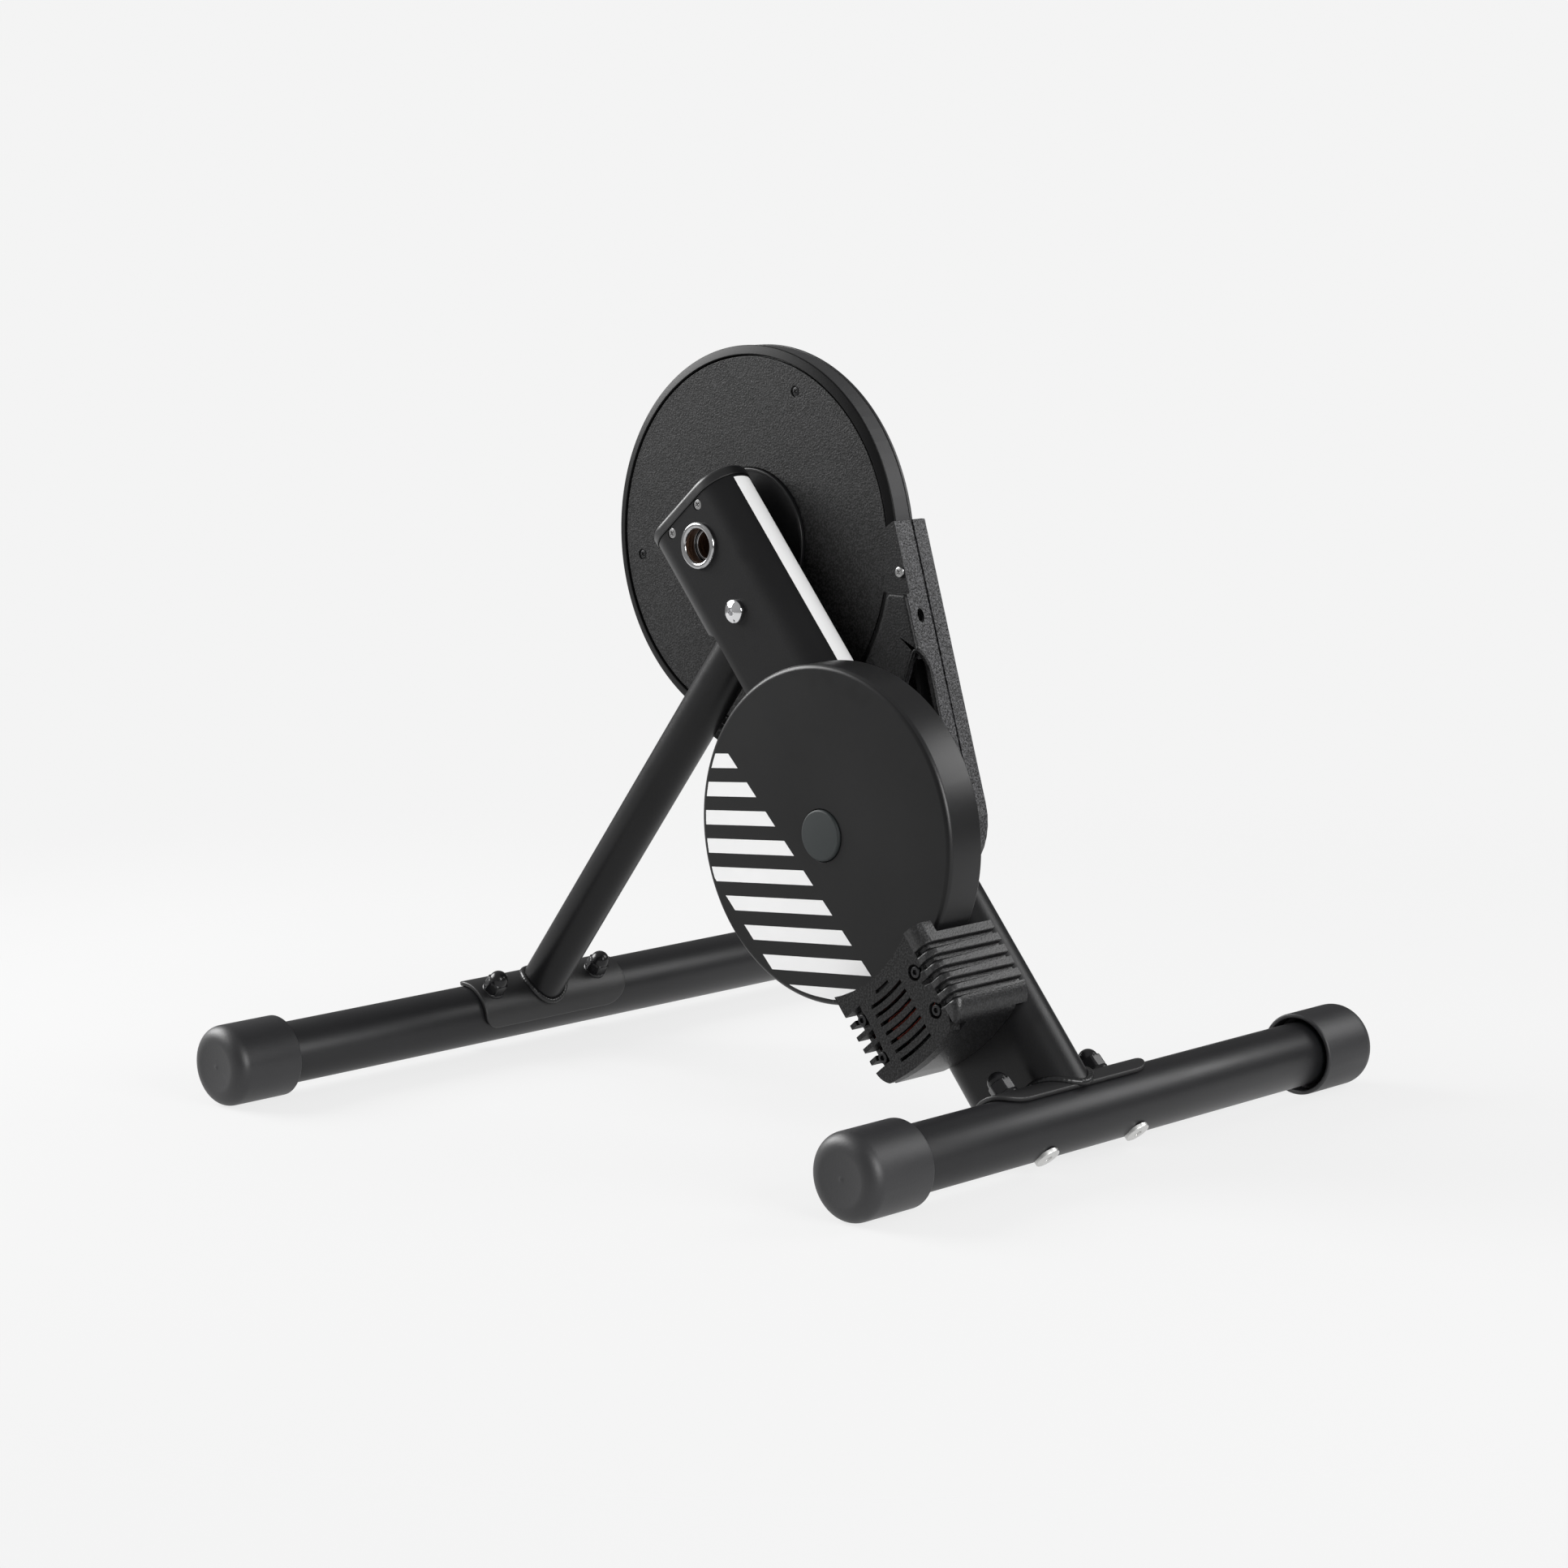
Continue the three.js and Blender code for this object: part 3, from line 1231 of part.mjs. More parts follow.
// Brake cover: a tray over the near side, with curved slots, fins down its front and screw bosses
const screwSides = [-1, 1];
function brakeCover() {
  const side = (inset, from, to) => brakeSlab(
    brakeCoverRearDepth,
    brakeHalfDepth,
    0,
    inset,
    brakeCoverCorner - inset,
    from,
    to,
  ).subtract(rod(brakeCoverTopRadius + inset, from - overrun, to + overrun, wheelSteps));
  const tray = side(0, brakeCoverBack, brakeNearFace)
    .subtract(side(brakeWall, brakeCoverBack - overrun, brakeNearFace - brakeCoverSkin));
  const combBottom = gapTop + gapCount * gapPitch;
  const comb = block(
    [brakeHalfDepth - gapReach - brakeWall, brakeNearFace - combThickness, -combBottom],
    [brakeHalfDepth - brakeWall / 2, brakeNearFace - brakeCoverSkin / 2, -gapTop + brakeWall],
  );
  let body = tray.add(comb);
  for (let i = 0; i < gapCount; i += 1) {
    const top = gapTop + i * gapPitch;
    const gap = block([0, -brakeNearFace, -top - gapHeight], [brakeHalfDepth, brakeNearFace, -top])
      .rotate([0, 0, 45])
      .translate([brakeHalfDepth - gapReach, brakeNearFace, 0]);
    body = body.subtract(gap);
  }
  for (let i = 0; i < slotCount; i += 1) {
    const radius = slotFirstRadius + i * slotPitch;
    const half = slotHalfLength * (i === 0 ? slotShortShare : 1) / radius;
    const down = -Math.PI / 2;
    const band = arcBand(radius - slotWidth / 2, radius + slotWidth / 2, down - half, down + half);
    body = body.subtract(plate(band, brakeCoverBack - overrun, brakeNearFace + overrun, slotSteps));
  }
  screwSides.forEach((side) => brakeScrewLevels.forEach((level) => {
    const place = [side * brakeScrewAcross, 0, -level];
    const boss = rod(brakeBossRadius + restGap, brakeCoverBack, brakeNearFace - brakeRecessDepth, screwSteps);
    const recessFloor = brakeNearFace - brakeRecessDepth;
    const recess = rod(brakeRecessRadius, recessFloor, brakeNearFace + overrun, smallSteps);
    const hole = rod(brakeScrewRadius + restGap, brakeCoverBack - overrun, brakeNearFace, screwSteps);
    body = body.add(boss.translate(place)).subtract(recess.translate(place)).subtract(hole.translate(place));
  }));
  return body;
}
brake.add(piece('brake_cover', brakeCover(), 'grainedBlack'));

// Brake screws: hex-socket heads sunk in round recesses
function brakeScrew() {
  const seat = brakeNearFace - brakeRecessDepth + restGap;
  const top = seat + brakeScrewHeadHeight;
  return turned([
    [0, seat - brakeScrewLength],
    [brakeScrewRadius, seat - brakeScrewLength],
    [brakeScrewRadius, seat],
    [brakeScrewHeadRadius, seat],
    [brakeScrewHeadRadius, top],
    [brakeScrewSocketRadius, top],
    [brakeScrewSocketRadius, top - brakeScrewSocketDepth],
    [0, top - brakeScrewSocketDepth],
  ], screwSteps);
}
screwSides.forEach((side) => brakeScrewLevels.forEach((level, i) => {
  const name = `brake_screw_${side > 0 ? 'front' : 'rear'}_${i === 0 ? 'upper' : 'lower'}`;
  const screw = piece(name, brakeScrew(), 'blackScrew');
  screw.position.set(side * brakeScrewAcross, 0, -level);
  brake.add(screw);
}));

// Magnet core: a yoke and two poles that face the flywheel's rim across a small gap
function magnetCore() {
  const low = flywheelMiddle - coreThickness / 2;
  const high = flywheelMiddle + coreThickness / 2;
  const width = poleSpacing / 2 + poleWidth / 2;
  let body = block([-width, low, -yokeBottom - yokeHeight / 2], [width, high, -yokeBottom + yokeHeight / 2]);
  poleSides.forEach(([, side]) => {
    const middle = side * poleSpacing / 2;
    body = body.add(block(
      [middle - poleWidth / 2, low, -yokeBottom],
      [middle + poleWidth / 2, high, -brakeProngTop],
    ));
  });
  return body.subtract(rod(flywheelRadius + poleGap, low - overrun, high + overrun, wheelSteps));
}
brake.add(piece('magnet_core', magnetCore(), 'laminatedSteel'));

// Windings: one round each pole
function winding(side) {
  const middle = side * poleSpacing / 2;
  const outline = (grow) => rounded([
    [middle - poleWidth / 2 - grow, flywheelMiddle - coreThickness / 2 - grow],
    [middle + poleWidth / 2 + grow, flywheelMiddle - coreThickness / 2 - grow],
    [middle + poleWidth / 2 + grow, flywheelMiddle + coreThickness / 2 + grow],
    [middle - poleWidth / 2 - grow, flywheelMiddle + coreThickness / 2 + grow],
  ], [grow, grow, grow, grow]);
  return bar(outline(restGap + coilBuild), -coilBottom, -coilTop, slotSteps)
    .subtract(bar(outline(restGap), -coilBottom - overrun, -coilTop + overrun, slotSteps));
}
poleSides.forEach(([name, side]) => {
  brake.add(piece(`winding_${name}`, winding(side), 'copper'));
});

// Control board on the housing's floor
const boardHalf = brakeHalfDepth - brakeWall - restGap;
const boardBody = block(
  [-boardHalf, brakeSeat + brakeWall + restGap, -boardLevel - boardThickness],
  [boardHalf, brakeBodyTop - boardRim, -boardLevel],
);
brake.add(piece('control_board', boardBody, 'board'));

// Power inlet: a flanged round socket in the housing's front face, with a short pin at its bottom
function powerInlet() {
  const bottom = inletBoreDepth - inletFlangeThickness;
  return turned([
    [0, -inletBarrelLength],
    [inletBarrelRadius, -inletBarrelLength],
    [inletBarrelRadius, 0],
    [inletFlangeRadius, 0],
    [inletFlangeRadius, inletFlangeThickness],
    [inletBoreRadius, inletFlangeThickness],
    [inletBoreRadius, -bottom],
    [inletPinRadius, -bottom],
    [inletPinRadius, -bottom + inletPinLength],
    [0, -bottom + inletPinLength],
  ], smallSteps).rotate([0, 0, -90]);
}
const inletMesh = piece('power_inlet', powerInlet(), 'smoothPlastic');
inletMesh.position.set(brakeHalfDepth + restGap, inletAcross, -inletDrop);
brake.add(inletMesh);

export default trainer;
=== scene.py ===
import json
import math

import bmesh
import bpy
import numpy as np
from mathutils import Matrix


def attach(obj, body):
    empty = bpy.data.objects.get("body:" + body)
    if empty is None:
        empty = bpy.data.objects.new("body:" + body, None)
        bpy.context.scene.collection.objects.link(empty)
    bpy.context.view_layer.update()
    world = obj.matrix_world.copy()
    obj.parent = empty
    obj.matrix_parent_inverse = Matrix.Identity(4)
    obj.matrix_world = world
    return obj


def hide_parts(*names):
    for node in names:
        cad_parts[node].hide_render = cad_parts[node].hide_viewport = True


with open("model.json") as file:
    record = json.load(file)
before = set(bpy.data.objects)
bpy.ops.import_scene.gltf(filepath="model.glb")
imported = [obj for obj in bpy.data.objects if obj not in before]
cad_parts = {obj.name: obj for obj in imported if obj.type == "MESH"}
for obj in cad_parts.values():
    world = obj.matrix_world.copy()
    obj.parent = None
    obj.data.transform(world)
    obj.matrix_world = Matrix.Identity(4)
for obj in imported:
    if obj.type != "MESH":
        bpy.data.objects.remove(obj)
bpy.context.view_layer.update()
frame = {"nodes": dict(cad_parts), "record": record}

# Camera, room and lamps: the trainer stands on a pale floor that fades into a background of the
# same colour. Light comes from the room all round, darker behind the camera, and from soft panels.
mm = 0.001
photo_width = 1932
focal_pixels = 4366.9
view_centre = (886, 936)
camera_place = (-1.5099, 1.5573, 0.5124)
camera_axes = (
    (-0.699941, 0.089577, -0.708557),
    (-0.714046, -0.108004, 0.691717),
    (-0.014565, 0.990108, 0.139561),
)
camera_near_limit = 0.05
backdrop = (0.904, 0.904, 0.904, 1)
room_bright_side = (0.3, 0.6, 0.74)
room_fade = (-0.3, 0.9)
room_strength = (0.1, 0.45)
sweep_top = (-0.30, -0.06)
floor_reach = 1.8
floor_corners = 96
floor_grey = (0.71, 0.71, 0.71, 1)
floor_roughness = 0.9
floor_fade = (0.5, 1.3)
floor_evenness = 0.86


def linked(tree, *pairs):
    """Joins each output socket to its input socket."""
    for output, entry in pairs:
        tree.links.new(output, entry)


def calc(tree, operation, *values):
    """The output of one maths node. A value may be a number or another node's output."""
    node = tree.nodes.new("ShaderNodeMath")
    node.operation = operation
    for socket, value in zip(node.inputs, values):
        if isinstance(value, (int, float)):
            socket.default_value = value
        else:
            tree.links.new(value, socket)
    return node.outputs[0]


def limits(tree, value, low, high, new_low=0.0, new_high=1.0, smooth=False):
    """The value's range from low to high stretched to a new one and clipped there, along a straight
    line or, if smooth, along an S-shaped curve."""
    made = tree.nodes.new("ShaderNodeMapRange")
    made.interpolation_type = "SMOOTHSTEP" if smooth else "LINEAR"
    for socket, number in zip(list(made.inputs)[1:5], (low, high, new_low, new_high)):
        socket.default_value = number
    tree.links.new(value, made.inputs[0])
    return made.outputs[0]


def mixed(tree, share, first, second):
    """A mix of two shaders by a share."""
    made = tree.nodes.new("ShaderNodeMixShader")
    linked(tree, (share, made.inputs[0]), (first, made.inputs[1]), (second, made.inputs[2]))
    return made.outputs[0]


def seen_by(tree):
    """Two outputs: 1 on rays from the camera, and 1 on mirrored and transmitted rays."""
    ray = tree.nodes.new("ShaderNodeLightPath").outputs
    return ray["Is Camera Ray"], calc(tree, "MAXIMUM", ray["Is Glossy Ray"], ray["Is Transmission Ray"])


camera = bpy.data.objects.new("camera", bpy.data.cameras.new("camera"))
bpy.context.scene.collection.objects.link(camera)
camera.data.lens = focal_pixels / photo_width * camera.data.sensor_width
camera.data.shift_x = (photo_width / 2 - view_centre[0]) / photo_width
camera.data.shift_y = (view_centre[1] - photo_width / 2) / photo_width
camera.data.clip_start = camera_near_limit
camera.matrix_world = Matrix.Translation(camera_place) @ Matrix(camera_axes).to_4x4()
bpy.context.scene.camera = camera
bpy.context.scene.view_settings.view_transform = "Standard"


def room_light():
    """World: a dim dome over a pale sweep. The camera sees the sweep's colour everywhere. Glossy and
    transmitted rays see it too, up to the height at which the sweep ends and the dim room begins."""
    world = bpy.data.worlds.new("room")
    world.use_nodes = True
    tree = world.node_tree
    light = tree.nodes["Background"]
    light.inputs["Color"].default_value = (1, 1, 1, 1)
    seen = tree.nodes.new("ShaderNodeBackground")
    seen.inputs["Color"].default_value = backdrop
    place = tree.nodes.new("ShaderNodeTexCoord").outputs["Generated"]
    toward = tree.nodes.new("ShaderNodeVectorMath")
    toward.operation = "DOT_PRODUCT"
    toward.inputs[1].default_value = room_bright_side
    height = tree.nodes.new("ShaderNodeSeparateXYZ")
    linked(tree, (place, toward.inputs[0]), (place, height.inputs[0]))
    shade = limits(tree, toward.outputs["Value"], *room_fade, *room_strength, smooth=True)
    sweep = limits(tree, height.outputs["Z"], *sweep_top, 1.0, 0.0, smooth=True)
    straight, mirrored = seen_by(tree)
    share = calc(tree, "MAXIMUM", straight, calc(tree, "MULTIPLY", mirrored, sweep))
    linked(
        tree,
        (shade, light.inputs["Strength"]),
        (mixed(tree, share, light.outputs[0], seen.outputs[0]),
         tree.nodes["World Output"].inputs["Surface"]),
    )
    bpy.context.scene.world = world


def floor_piece():
    """A disc of the floor. Most of what the camera and glossy rays see of it is the backdrop's even
    colour, the rest is its lit surface with the trainer's shadow, and its edge fades away."""
    ring = np.linspace(0, 2 * np.pi, floor_corners, endpoint=False)
    points = floor_reach * np.stack([np.cos(ring), np.sin(ring), 0 * ring], -1)
    mesh = bpy.data.meshes.new("floor")
    mesh.from_pydata(points.tolist(), [], [list(range(floor_corners))])
    floor = bpy.data.objects.new("floor", mesh)
    bpy.context.scene.collection.objects.link(floor)
    paint = bpy.data.materials.new("floor_paint")
    paint.use_nodes = True
    tree = paint.node_tree
    surface = tree.nodes["Principled BSDF"]
    surface.inputs["Base Color"].default_value = floor_grey
    surface.inputs["Roughness"].default_value = floor_roughness
    surface.inputs["Specular IOR Level"].default_value = 0.0
    even = tree.nodes.new("ShaderNodeEmission")
    even.inputs["Color"].default_value = backdrop
    clear = tree.nodes.new("ShaderNodeBsdfTransparent")
    far = tree.nodes.new("ShaderNodeVectorMath")
    far.operation = "LENGTH"
    linked(tree, (tree.nodes.new("ShaderNodeTexCoord").outputs["Object"], far.inputs[0]))
    fade = limits(tree, far.outputs["Value"], *floor_fade, smooth=True)
    straight, mirrored = seen_by(tree)
    watched = calc(tree, "MULTIPLY", calc(tree, "MAXIMUM", straight, mirrored), floor_evenness)
    lit = mixed(tree, watched, surface.outputs[0], even.outputs[0])
    shown = mixed(tree, calc(tree, "MULTIPLY", fade, straight), lit, clear.outputs[0])
    linked(tree, (shown, tree.nodes["Material Output"].inputs["Surface"]))
    mesh.materials.append(paint)


def panel(name, place, aim, size, power):
    """A soft oblong lamp at a place, turned to face a point. Places and sizes are in metres."""
    lamp = bpy.data.lights.new(name, "AREA")
    lamp.shape = "RECTANGLE"
    lamp.size, lamp.size_y = size
    lamp.energy = power
    made = bpy.data.objects.new(name, lamp)
    back = np.subtract(place, aim) / np.linalg.norm(np.subtract(place, aim))
    right = np.cross((0, 0, 1), back)
    right /= np.linalg.norm(right)
    turn = Matrix(np.stack([right, np.cross(back, right), back], -1).tolist()).to_4x4()
    made.matrix_world = Matrix.Translation(place) @ turn
    bpy.context.scene.collection.objects.link(made)


room_light()
floor_piece()
panel("right_softbox", place=(-1.05, -1.5, 1.2), aim=(0, 0, 0.15), size=(1.2, 0.8), power=14)
panel("left_softbox", place=(1.85, 0.85, 1.25), aim=(0, 0, 0.15), size=(1.5, 1.1), power=78)
panel("rear_softbox", place=(-2.15, 0.2, 0.95), aim=(0, 0, 0.2), size=(1.2, 0.9), power=40)

# Base tubes: two round steel tubes across the floor, front and rear, with a satin black powder
# coat. Each is one length of tube whose ends are hidden in rubber caps.
tube_radius = 19.4
tube_wall = 2
tube_edge = 0.4
tube_level = 25.2
tube_forward = {"front": 234.3, "rear": -234.3}
tube_centre = {place: np.array([x, 0, tube_level]) for place, x in tube_forward.items()}
base_length = {"front": 583, "rear": 453}
tube_end_in_cap = 8
merge_distance = 2e-6
forward, upright = np.array([1, 0, 0]), np.array([0, 0, 1])


def grid_faces(rows, columns, wrap_rows, wrap_columns):
    """Quads of a grid of points numbered row by row. A wrapped side joins its last to its first."""
    row = np.arange(rows if wrap_rows else rows - 1)[:, None]
    column = np.arange(columns if wrap_columns else columns - 1)[None, :]
    below, beside = (row + 1) % rows, (column + 1) % columns
    corners = (
        row * columns + column,
        row * columns + beside,
        below * columns + beside,
        below * columns + column,
    )
    return np.stack(np.broadcast_arrays(*corners), -1).reshape(-1, 4)


def tidied(mesh, crease):
    """Merges doubles, drops faces with no area, turns normals outwards and smooths the surface but
    for edges sharper than the crease angle."""
    work = bmesh.new()
    work.from_mesh(mesh)
    bmesh.ops.remove_doubles(work, verts=work.verts, dist=merge_distance)
    bmesh.ops.dissolve_degenerate(work, edges=work.edges, dist=merge_distance)
    bmesh.ops.recalc_face_normals(work, faces=work.faces)
    work.to_mesh(mesh)
    work.free()
    mesh.shade_smooth()
    mesh.set_sharp_from_angle(angle=math.radians(crease))


def put(name, grids, paint, body="frame", replaced=(), crease=32):
    """One piece from grids of points in millimetres, each with whether its rows and its columns
    wrap round. It rides on a body and stands for the solids that it replaces."""
    faces, start = [], 0
    for points, wrap_rows, wrap_columns in grids:
        faces.append(grid_faces(*points.shape[:2], wrap_rows, wrap_columns) + start)
        start += points.shape[0] * points.shape[1]
    mesh = bpy.data.meshes.new(name)
    every = np.vstack([points.reshape(-1, 3) for points, _, _ in grids]) * mm
    mesh.from_pydata(every.tolist(), [], np.vstack(faces).tolist())
    tidied(mesh, crease)
    made = bpy.data.objects.new(name, mesh)
    bpy.context.scene.collection.objects.link(made)
    mesh.materials.append(paint)
    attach(made, body)
    if replaced:
        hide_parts(*replaced)
    return made


def rounded(corners, radii, steps=5):
    """A polyline through corners, each replaced by an arc of its radius that is tangent to both
    sides: points centre + radius * (cos, sin) from one tangent point to the other."""
    line = []
    corners = [np.array(c, float) for c in corners]
    for i, (here, radius) in enumerate(zip(corners, radii)):
        if radius == 0:
            line.append(here)
            continue
        inward = corners[i - 1] - here
        onward = corners[(i + 1) % len(corners)] - here
        inward, onward = inward / np.linalg.norm(inward), onward / np.linalg.norm(onward)
        half = math.acos(np.clip(inward @ onward, -1, 1)) / 2
        middle = (inward + onward) / np.linalg.norm(inward + onward)
        centre = here + middle * radius / math.sin(half)
        start = here + inward * radius / math.tan(half) - centre
        end = here + onward * radius / math.tan(half) - centre
        share = np.linspace(0, 1, steps + 1)[:, None]
        arc = (1 - share) * start + share * end
        line.extend(centre + radius * arc / np.linalg.norm(arc, axis=1, keepdims=True))
    return np.array(line)


def turned(profile, centre=(0, 0, 0), steps=96, closed=True):
    """A profile of radius and height pairs turned about a line along Y through the centre:
    x = radius * cos(turn), y = height, z = radius * sin(turn)."""
    turn = np.linspace(0, 2 * np.pi, steps, endpoint=False)
    radius, height = np.asarray(profile, float).T[:, :, None]
    points = np.stack([radius * np.cos(turn), height + 0 * turn, radius * np.sin(turn)], -1)
    return points + np.array(centre, float), closed, True


def effect(name):
    """A new group of shader nodes with one input, Size, and three outputs, and its two ends."""
    group = bpy.data.node_groups.new(name, "ShaderNodeTree")
    size = group.interface.new_socket("Size", in_out="INPUT", socket_type="NodeSocketFloat")
    size.default_value = 900.0
    for title in ("Height", "Patch", "Rub"):
        group.interface.new_socket(title, in_out="OUTPUT", socket_type="NodeSocketFloat")
    return group, group.nodes.new("NodeGroupInput"), group.nodes.new("NodeGroupOutput")


def noise(tree, place, scale, detail=2.0, stretch=None):
    """A noise value between 0 and 1 at object places, its places first stretched if asked."""
    if stretch:
        shaped = tree.nodes.new("ShaderNodeMapping")
        shaped.inputs["Scale"].default_value = stretch
        tree.links.new(place, shaped.inputs["Vector"])
        place = shaped.outputs[0]
    made = tree.nodes.new("ShaderNodeTexNoise")
    made.inputs["Detail"].default_value = detail
    if isinstance(scale, (int, float)):
        made.inputs["Scale"].default_value = scale
    else:
        tree.links.new(scale, made.inputs["Scale"])
    tree.links.new(place, made.inputs["Vector"])
    return made.outputs["Fac"]


def skin_effect():
    """Fine bumps of a sprayed or moulded skin: Height from small noise, Patch from slow blotches
    and Rub from long faint rub marks."""
    group, entry, leave = effect("skin")
    place = group.nodes.new("ShaderNodeTexCoord").outputs["Object"]
    fine = noise(group, place, entry.outputs["Size"], detail=3)
    slow = noise(group, place, scale=14, detail=4)
    rubs = noise(group, place, scale=60, detail=5, stretch=(1, 0.12, 1))
    linked(
        group,
        (fine, leave.inputs["Height"]),
        (limits(group, slow, 0.3, 0.7), leave.inputs["Patch"]),
        (limits(group, rubs, 0.58, 0.78), leave.inputs["Rub"]),
    )
    return group


skin = skin_effect()


def blended(tree, share, low, high):
    """A colour between two others by a share from 0 to 1."""
    made = tree.nodes.new("ShaderNodeMix")
    made.data_type = "RGBA"
    made.inputs["A"].default_value = (*low, 1)
    made.inputs["B"].default_value = (*high, 1)
    tree.links.new(share, made.inputs["Factor"])
    return made.outputs["Result"]


def coated(name, dark, light, rough, bump, size, group=skin, metallic=0.0, shine=0.5):
    """A paint: two close colours in patches, roughness from its first value to its second where the
    surface is rubbed, and bumps of a depth in millimetres, all from an effect. Size is how many
    bumps lie on a metre and shine is the specular level."""
    made = bpy.data.materials.new(name)
    made.use_nodes = True
    tree = made.node_tree
    surface = tree.nodes["Principled BSDF"]
    look = tree.nodes.new("ShaderNodeGroup")
    look.node_tree = group
    look.inputs["Size"].default_value = size
    bumps = tree.nodes.new("ShaderNodeBump")
    bumps.inputs["Distance"].default_value = bump * mm
    linked(
        tree,
        (blended(tree, look.outputs["Patch"], dark, light), surface.inputs["Base Color"]),
        (limits(tree, look.outputs["Rub"], 0, 1, *rough), surface.inputs["Roughness"]),
        (look.outputs["Height"], bumps.inputs["Height"]),
        (bumps.outputs[0], surface.inputs["Normal"]),
    )
    surface.inputs["Metallic"].default_value = metallic
    surface.inputs["Specular IOR Level"].default_value = shine
    return made


tube_black = coated(
    "satin_black_tube", dark=(0.007, 0.007, 0.008), light=(0.011, 0.011, 0.012),
    rough=(0.40, 0.33), bump=0.05, size=1100, shine=0.38,
)


def base_tube(place):
    """A round tube: outer and inner circles joined at both ends with eased edges."""
    half = base_length[place] / 2 - tube_end_in_cap
    inner = tube_radius - tube_wall
    corners = [(inner, -half), (tube_radius, -half), (tube_radius, half), (inner, half)]
    profile = rounded(corners, [tube_edge] * 4, 2)
    put(f"{place}_tube", [turned(profile, tube_centre[place], 128)], tube_black,
        replaced=[f"{place}_base_tube"])


base_tube("front")
base_tube("rear")

# End caps: soft black rubber cups pushed over the tube ends. Their mouths stand a little off the
# tube, their faces are faintly dished and each keeps a small dot from its mould.
cup_radius = 25.2
cup_length = 48
cup_end_thickness = 7
cup_rounding = 9.5
cup_rounding_power = 0.9
cup_dish = 0.9
cup_dot_height = 0.5
cup_dot_width = 0.9
cup_mouth_radius = 22.4
cup_mouth_depth = 9
cup_mouth_slope = 1.5
cup_fit = 0.15
cup_lip_radii = [0, 1.1, 0.9, 0.6, 0.6, 0]

matt_rubber = coated(
    "matt_black_rubber", dark=(0.007, 0.007, 0.0083), light=(0.011, 0.011, 0.0125),
    rough=(0.50, 0.40), bump=0.07, size=700, shine=0.62,
)


def end_cap(place, side, sign):
    """A cup turned about the tube: face, wide rounding, straight side, lip and bore. The face sinks
    by dish * (1 - (radius / rim)^2) and rises in a small dot at its middle."""
    outer = base_length[place] / 2
    rim = cup_radius - cup_rounding
    spread = np.linspace(0, rim, 14)
    dot = cup_dot_height * np.exp(-((spread / cup_dot_width) ** 2))
    face = outer - cup_dish * (1 - (spread / rim) ** 2) + dot
    turn = np.linspace(0, np.pi / 2, 16)[1:]
    edge = np.stack([
        rim + cup_rounding * np.sin(turn),
        outer - cup_rounding + cup_rounding * np.cos(turn) ** cup_rounding_power,
    ], -1)
    mouth = outer - cup_length
    step = mouth + cup_mouth_depth
    bore = tube_radius + cup_fit
    floor = outer - cup_end_thickness
    lip = rounded(
        [(cup_radius, outer - cup_rounding), (cup_radius, mouth), (cup_mouth_radius, mouth),
         (cup_mouth_radius, step), (bore, step + cup_mouth_slope), (bore, floor)],
        cup_lip_radii, 4,
    )
    profile = np.vstack([np.stack([spread, face], -1), edge, lip[1:], [(0, floor)]])
    profile[:, 1] *= sign
    put(f"{place}_{side}_cap", [turned(profile, tube_centre[place], 128, False)], matt_rubber,
        replaced=[f"{place}_cap_{side}"], crease=50)


for place in ("front", "rear"):
    end_cap(place, "left", 1)
    end_cap(place, "right", -1)

# Saddle plates: steel strips with round corners, bent over the tubes and coated like them. The
# rear one has a tongue that closes the arm's foot in front of the tube.
saddle_outer = 22.7
saddle_thickness = 3
saddle_edge = 0.9
saddle_wrap = math.radians(136)
saddle_turn = math.radians(5.2)
saddle_rings = 22
front_saddle_span = 124.5
front_saddle_shift = -5
rear_saddle_span = 130
saddle_corners = {"front": (11, 19), "rear": (18, 18)}
arm_middle = 33.1
arm_width = 38.1
arm_lean = math.radians(50.9)
arm_foot_drop = 7.4
tongue_start, tongue_flat_end, tongue_tip = 12, 21.5, 41.5
tongue_taper = 0.95
tongue_thickness = 3
rest_gap = 0.3
axle = np.array([46.5, 0, 339.6])
strut_below_axle = 52.4
along_arm = np.array([math.cos(arm_lean), 0, math.sin(arm_lean)])
across_arm = np.array([math.sin(arm_lean), 0, -math.cos(arm_lean)])
side_axis = np.array([0, 1, 0])
strut_meeting = axle - strut_below_axle * along_arm


def placed(points, origin, x_axis, z_axis):
    """Local x, y and z carried to the row frame: origin + x * x_axis + y * Y + z * z_axis."""
    return origin + points[..., :1] * x_axis + points[..., 1:2] * side_axis + points[..., 2:] * z_axis


def upward(direction):
    """The x and z axes of a place whose z runs along a direction in the X, Z plane."""
    direction = direction / np.linalg.norm(direction)
    return np.array([direction[2], 0, -direction[0]]), direction


plate_lean = arm_lean - saddle_turn
saddle_axes = {
    "front": upward(strut_meeting - tube_centre["front"]),
    "rear": upward(np.array([math.cos(plate_lean), 0, math.sin(plate_lean)])),
}


def inset(loop, distance):
    """A closed loop of points moved square to itself and inwards by a distance."""
    ahead = np.roll(loop, -1, 0) - np.roll(loop, 1, 0)
    ahead /= np.linalg.norm(ahead, axis=1, keepdims=True)
    return loop + distance * np.stack([-ahead[:, 1], ahead[:, 0]], -1)


def denser(loop, spacing):
    """A closed loop with points added so that none are further apart than the spacing."""
    made = []
    for start, end in zip(loop, np.roll(loop, -1, 0)):
        count = max(1, int(np.ceil(np.linalg.norm(end - start) / spacing)))
        share = np.arange(count)[:, None] / count
        made.append(start + share * (end - start))
    return np.vstack(made)


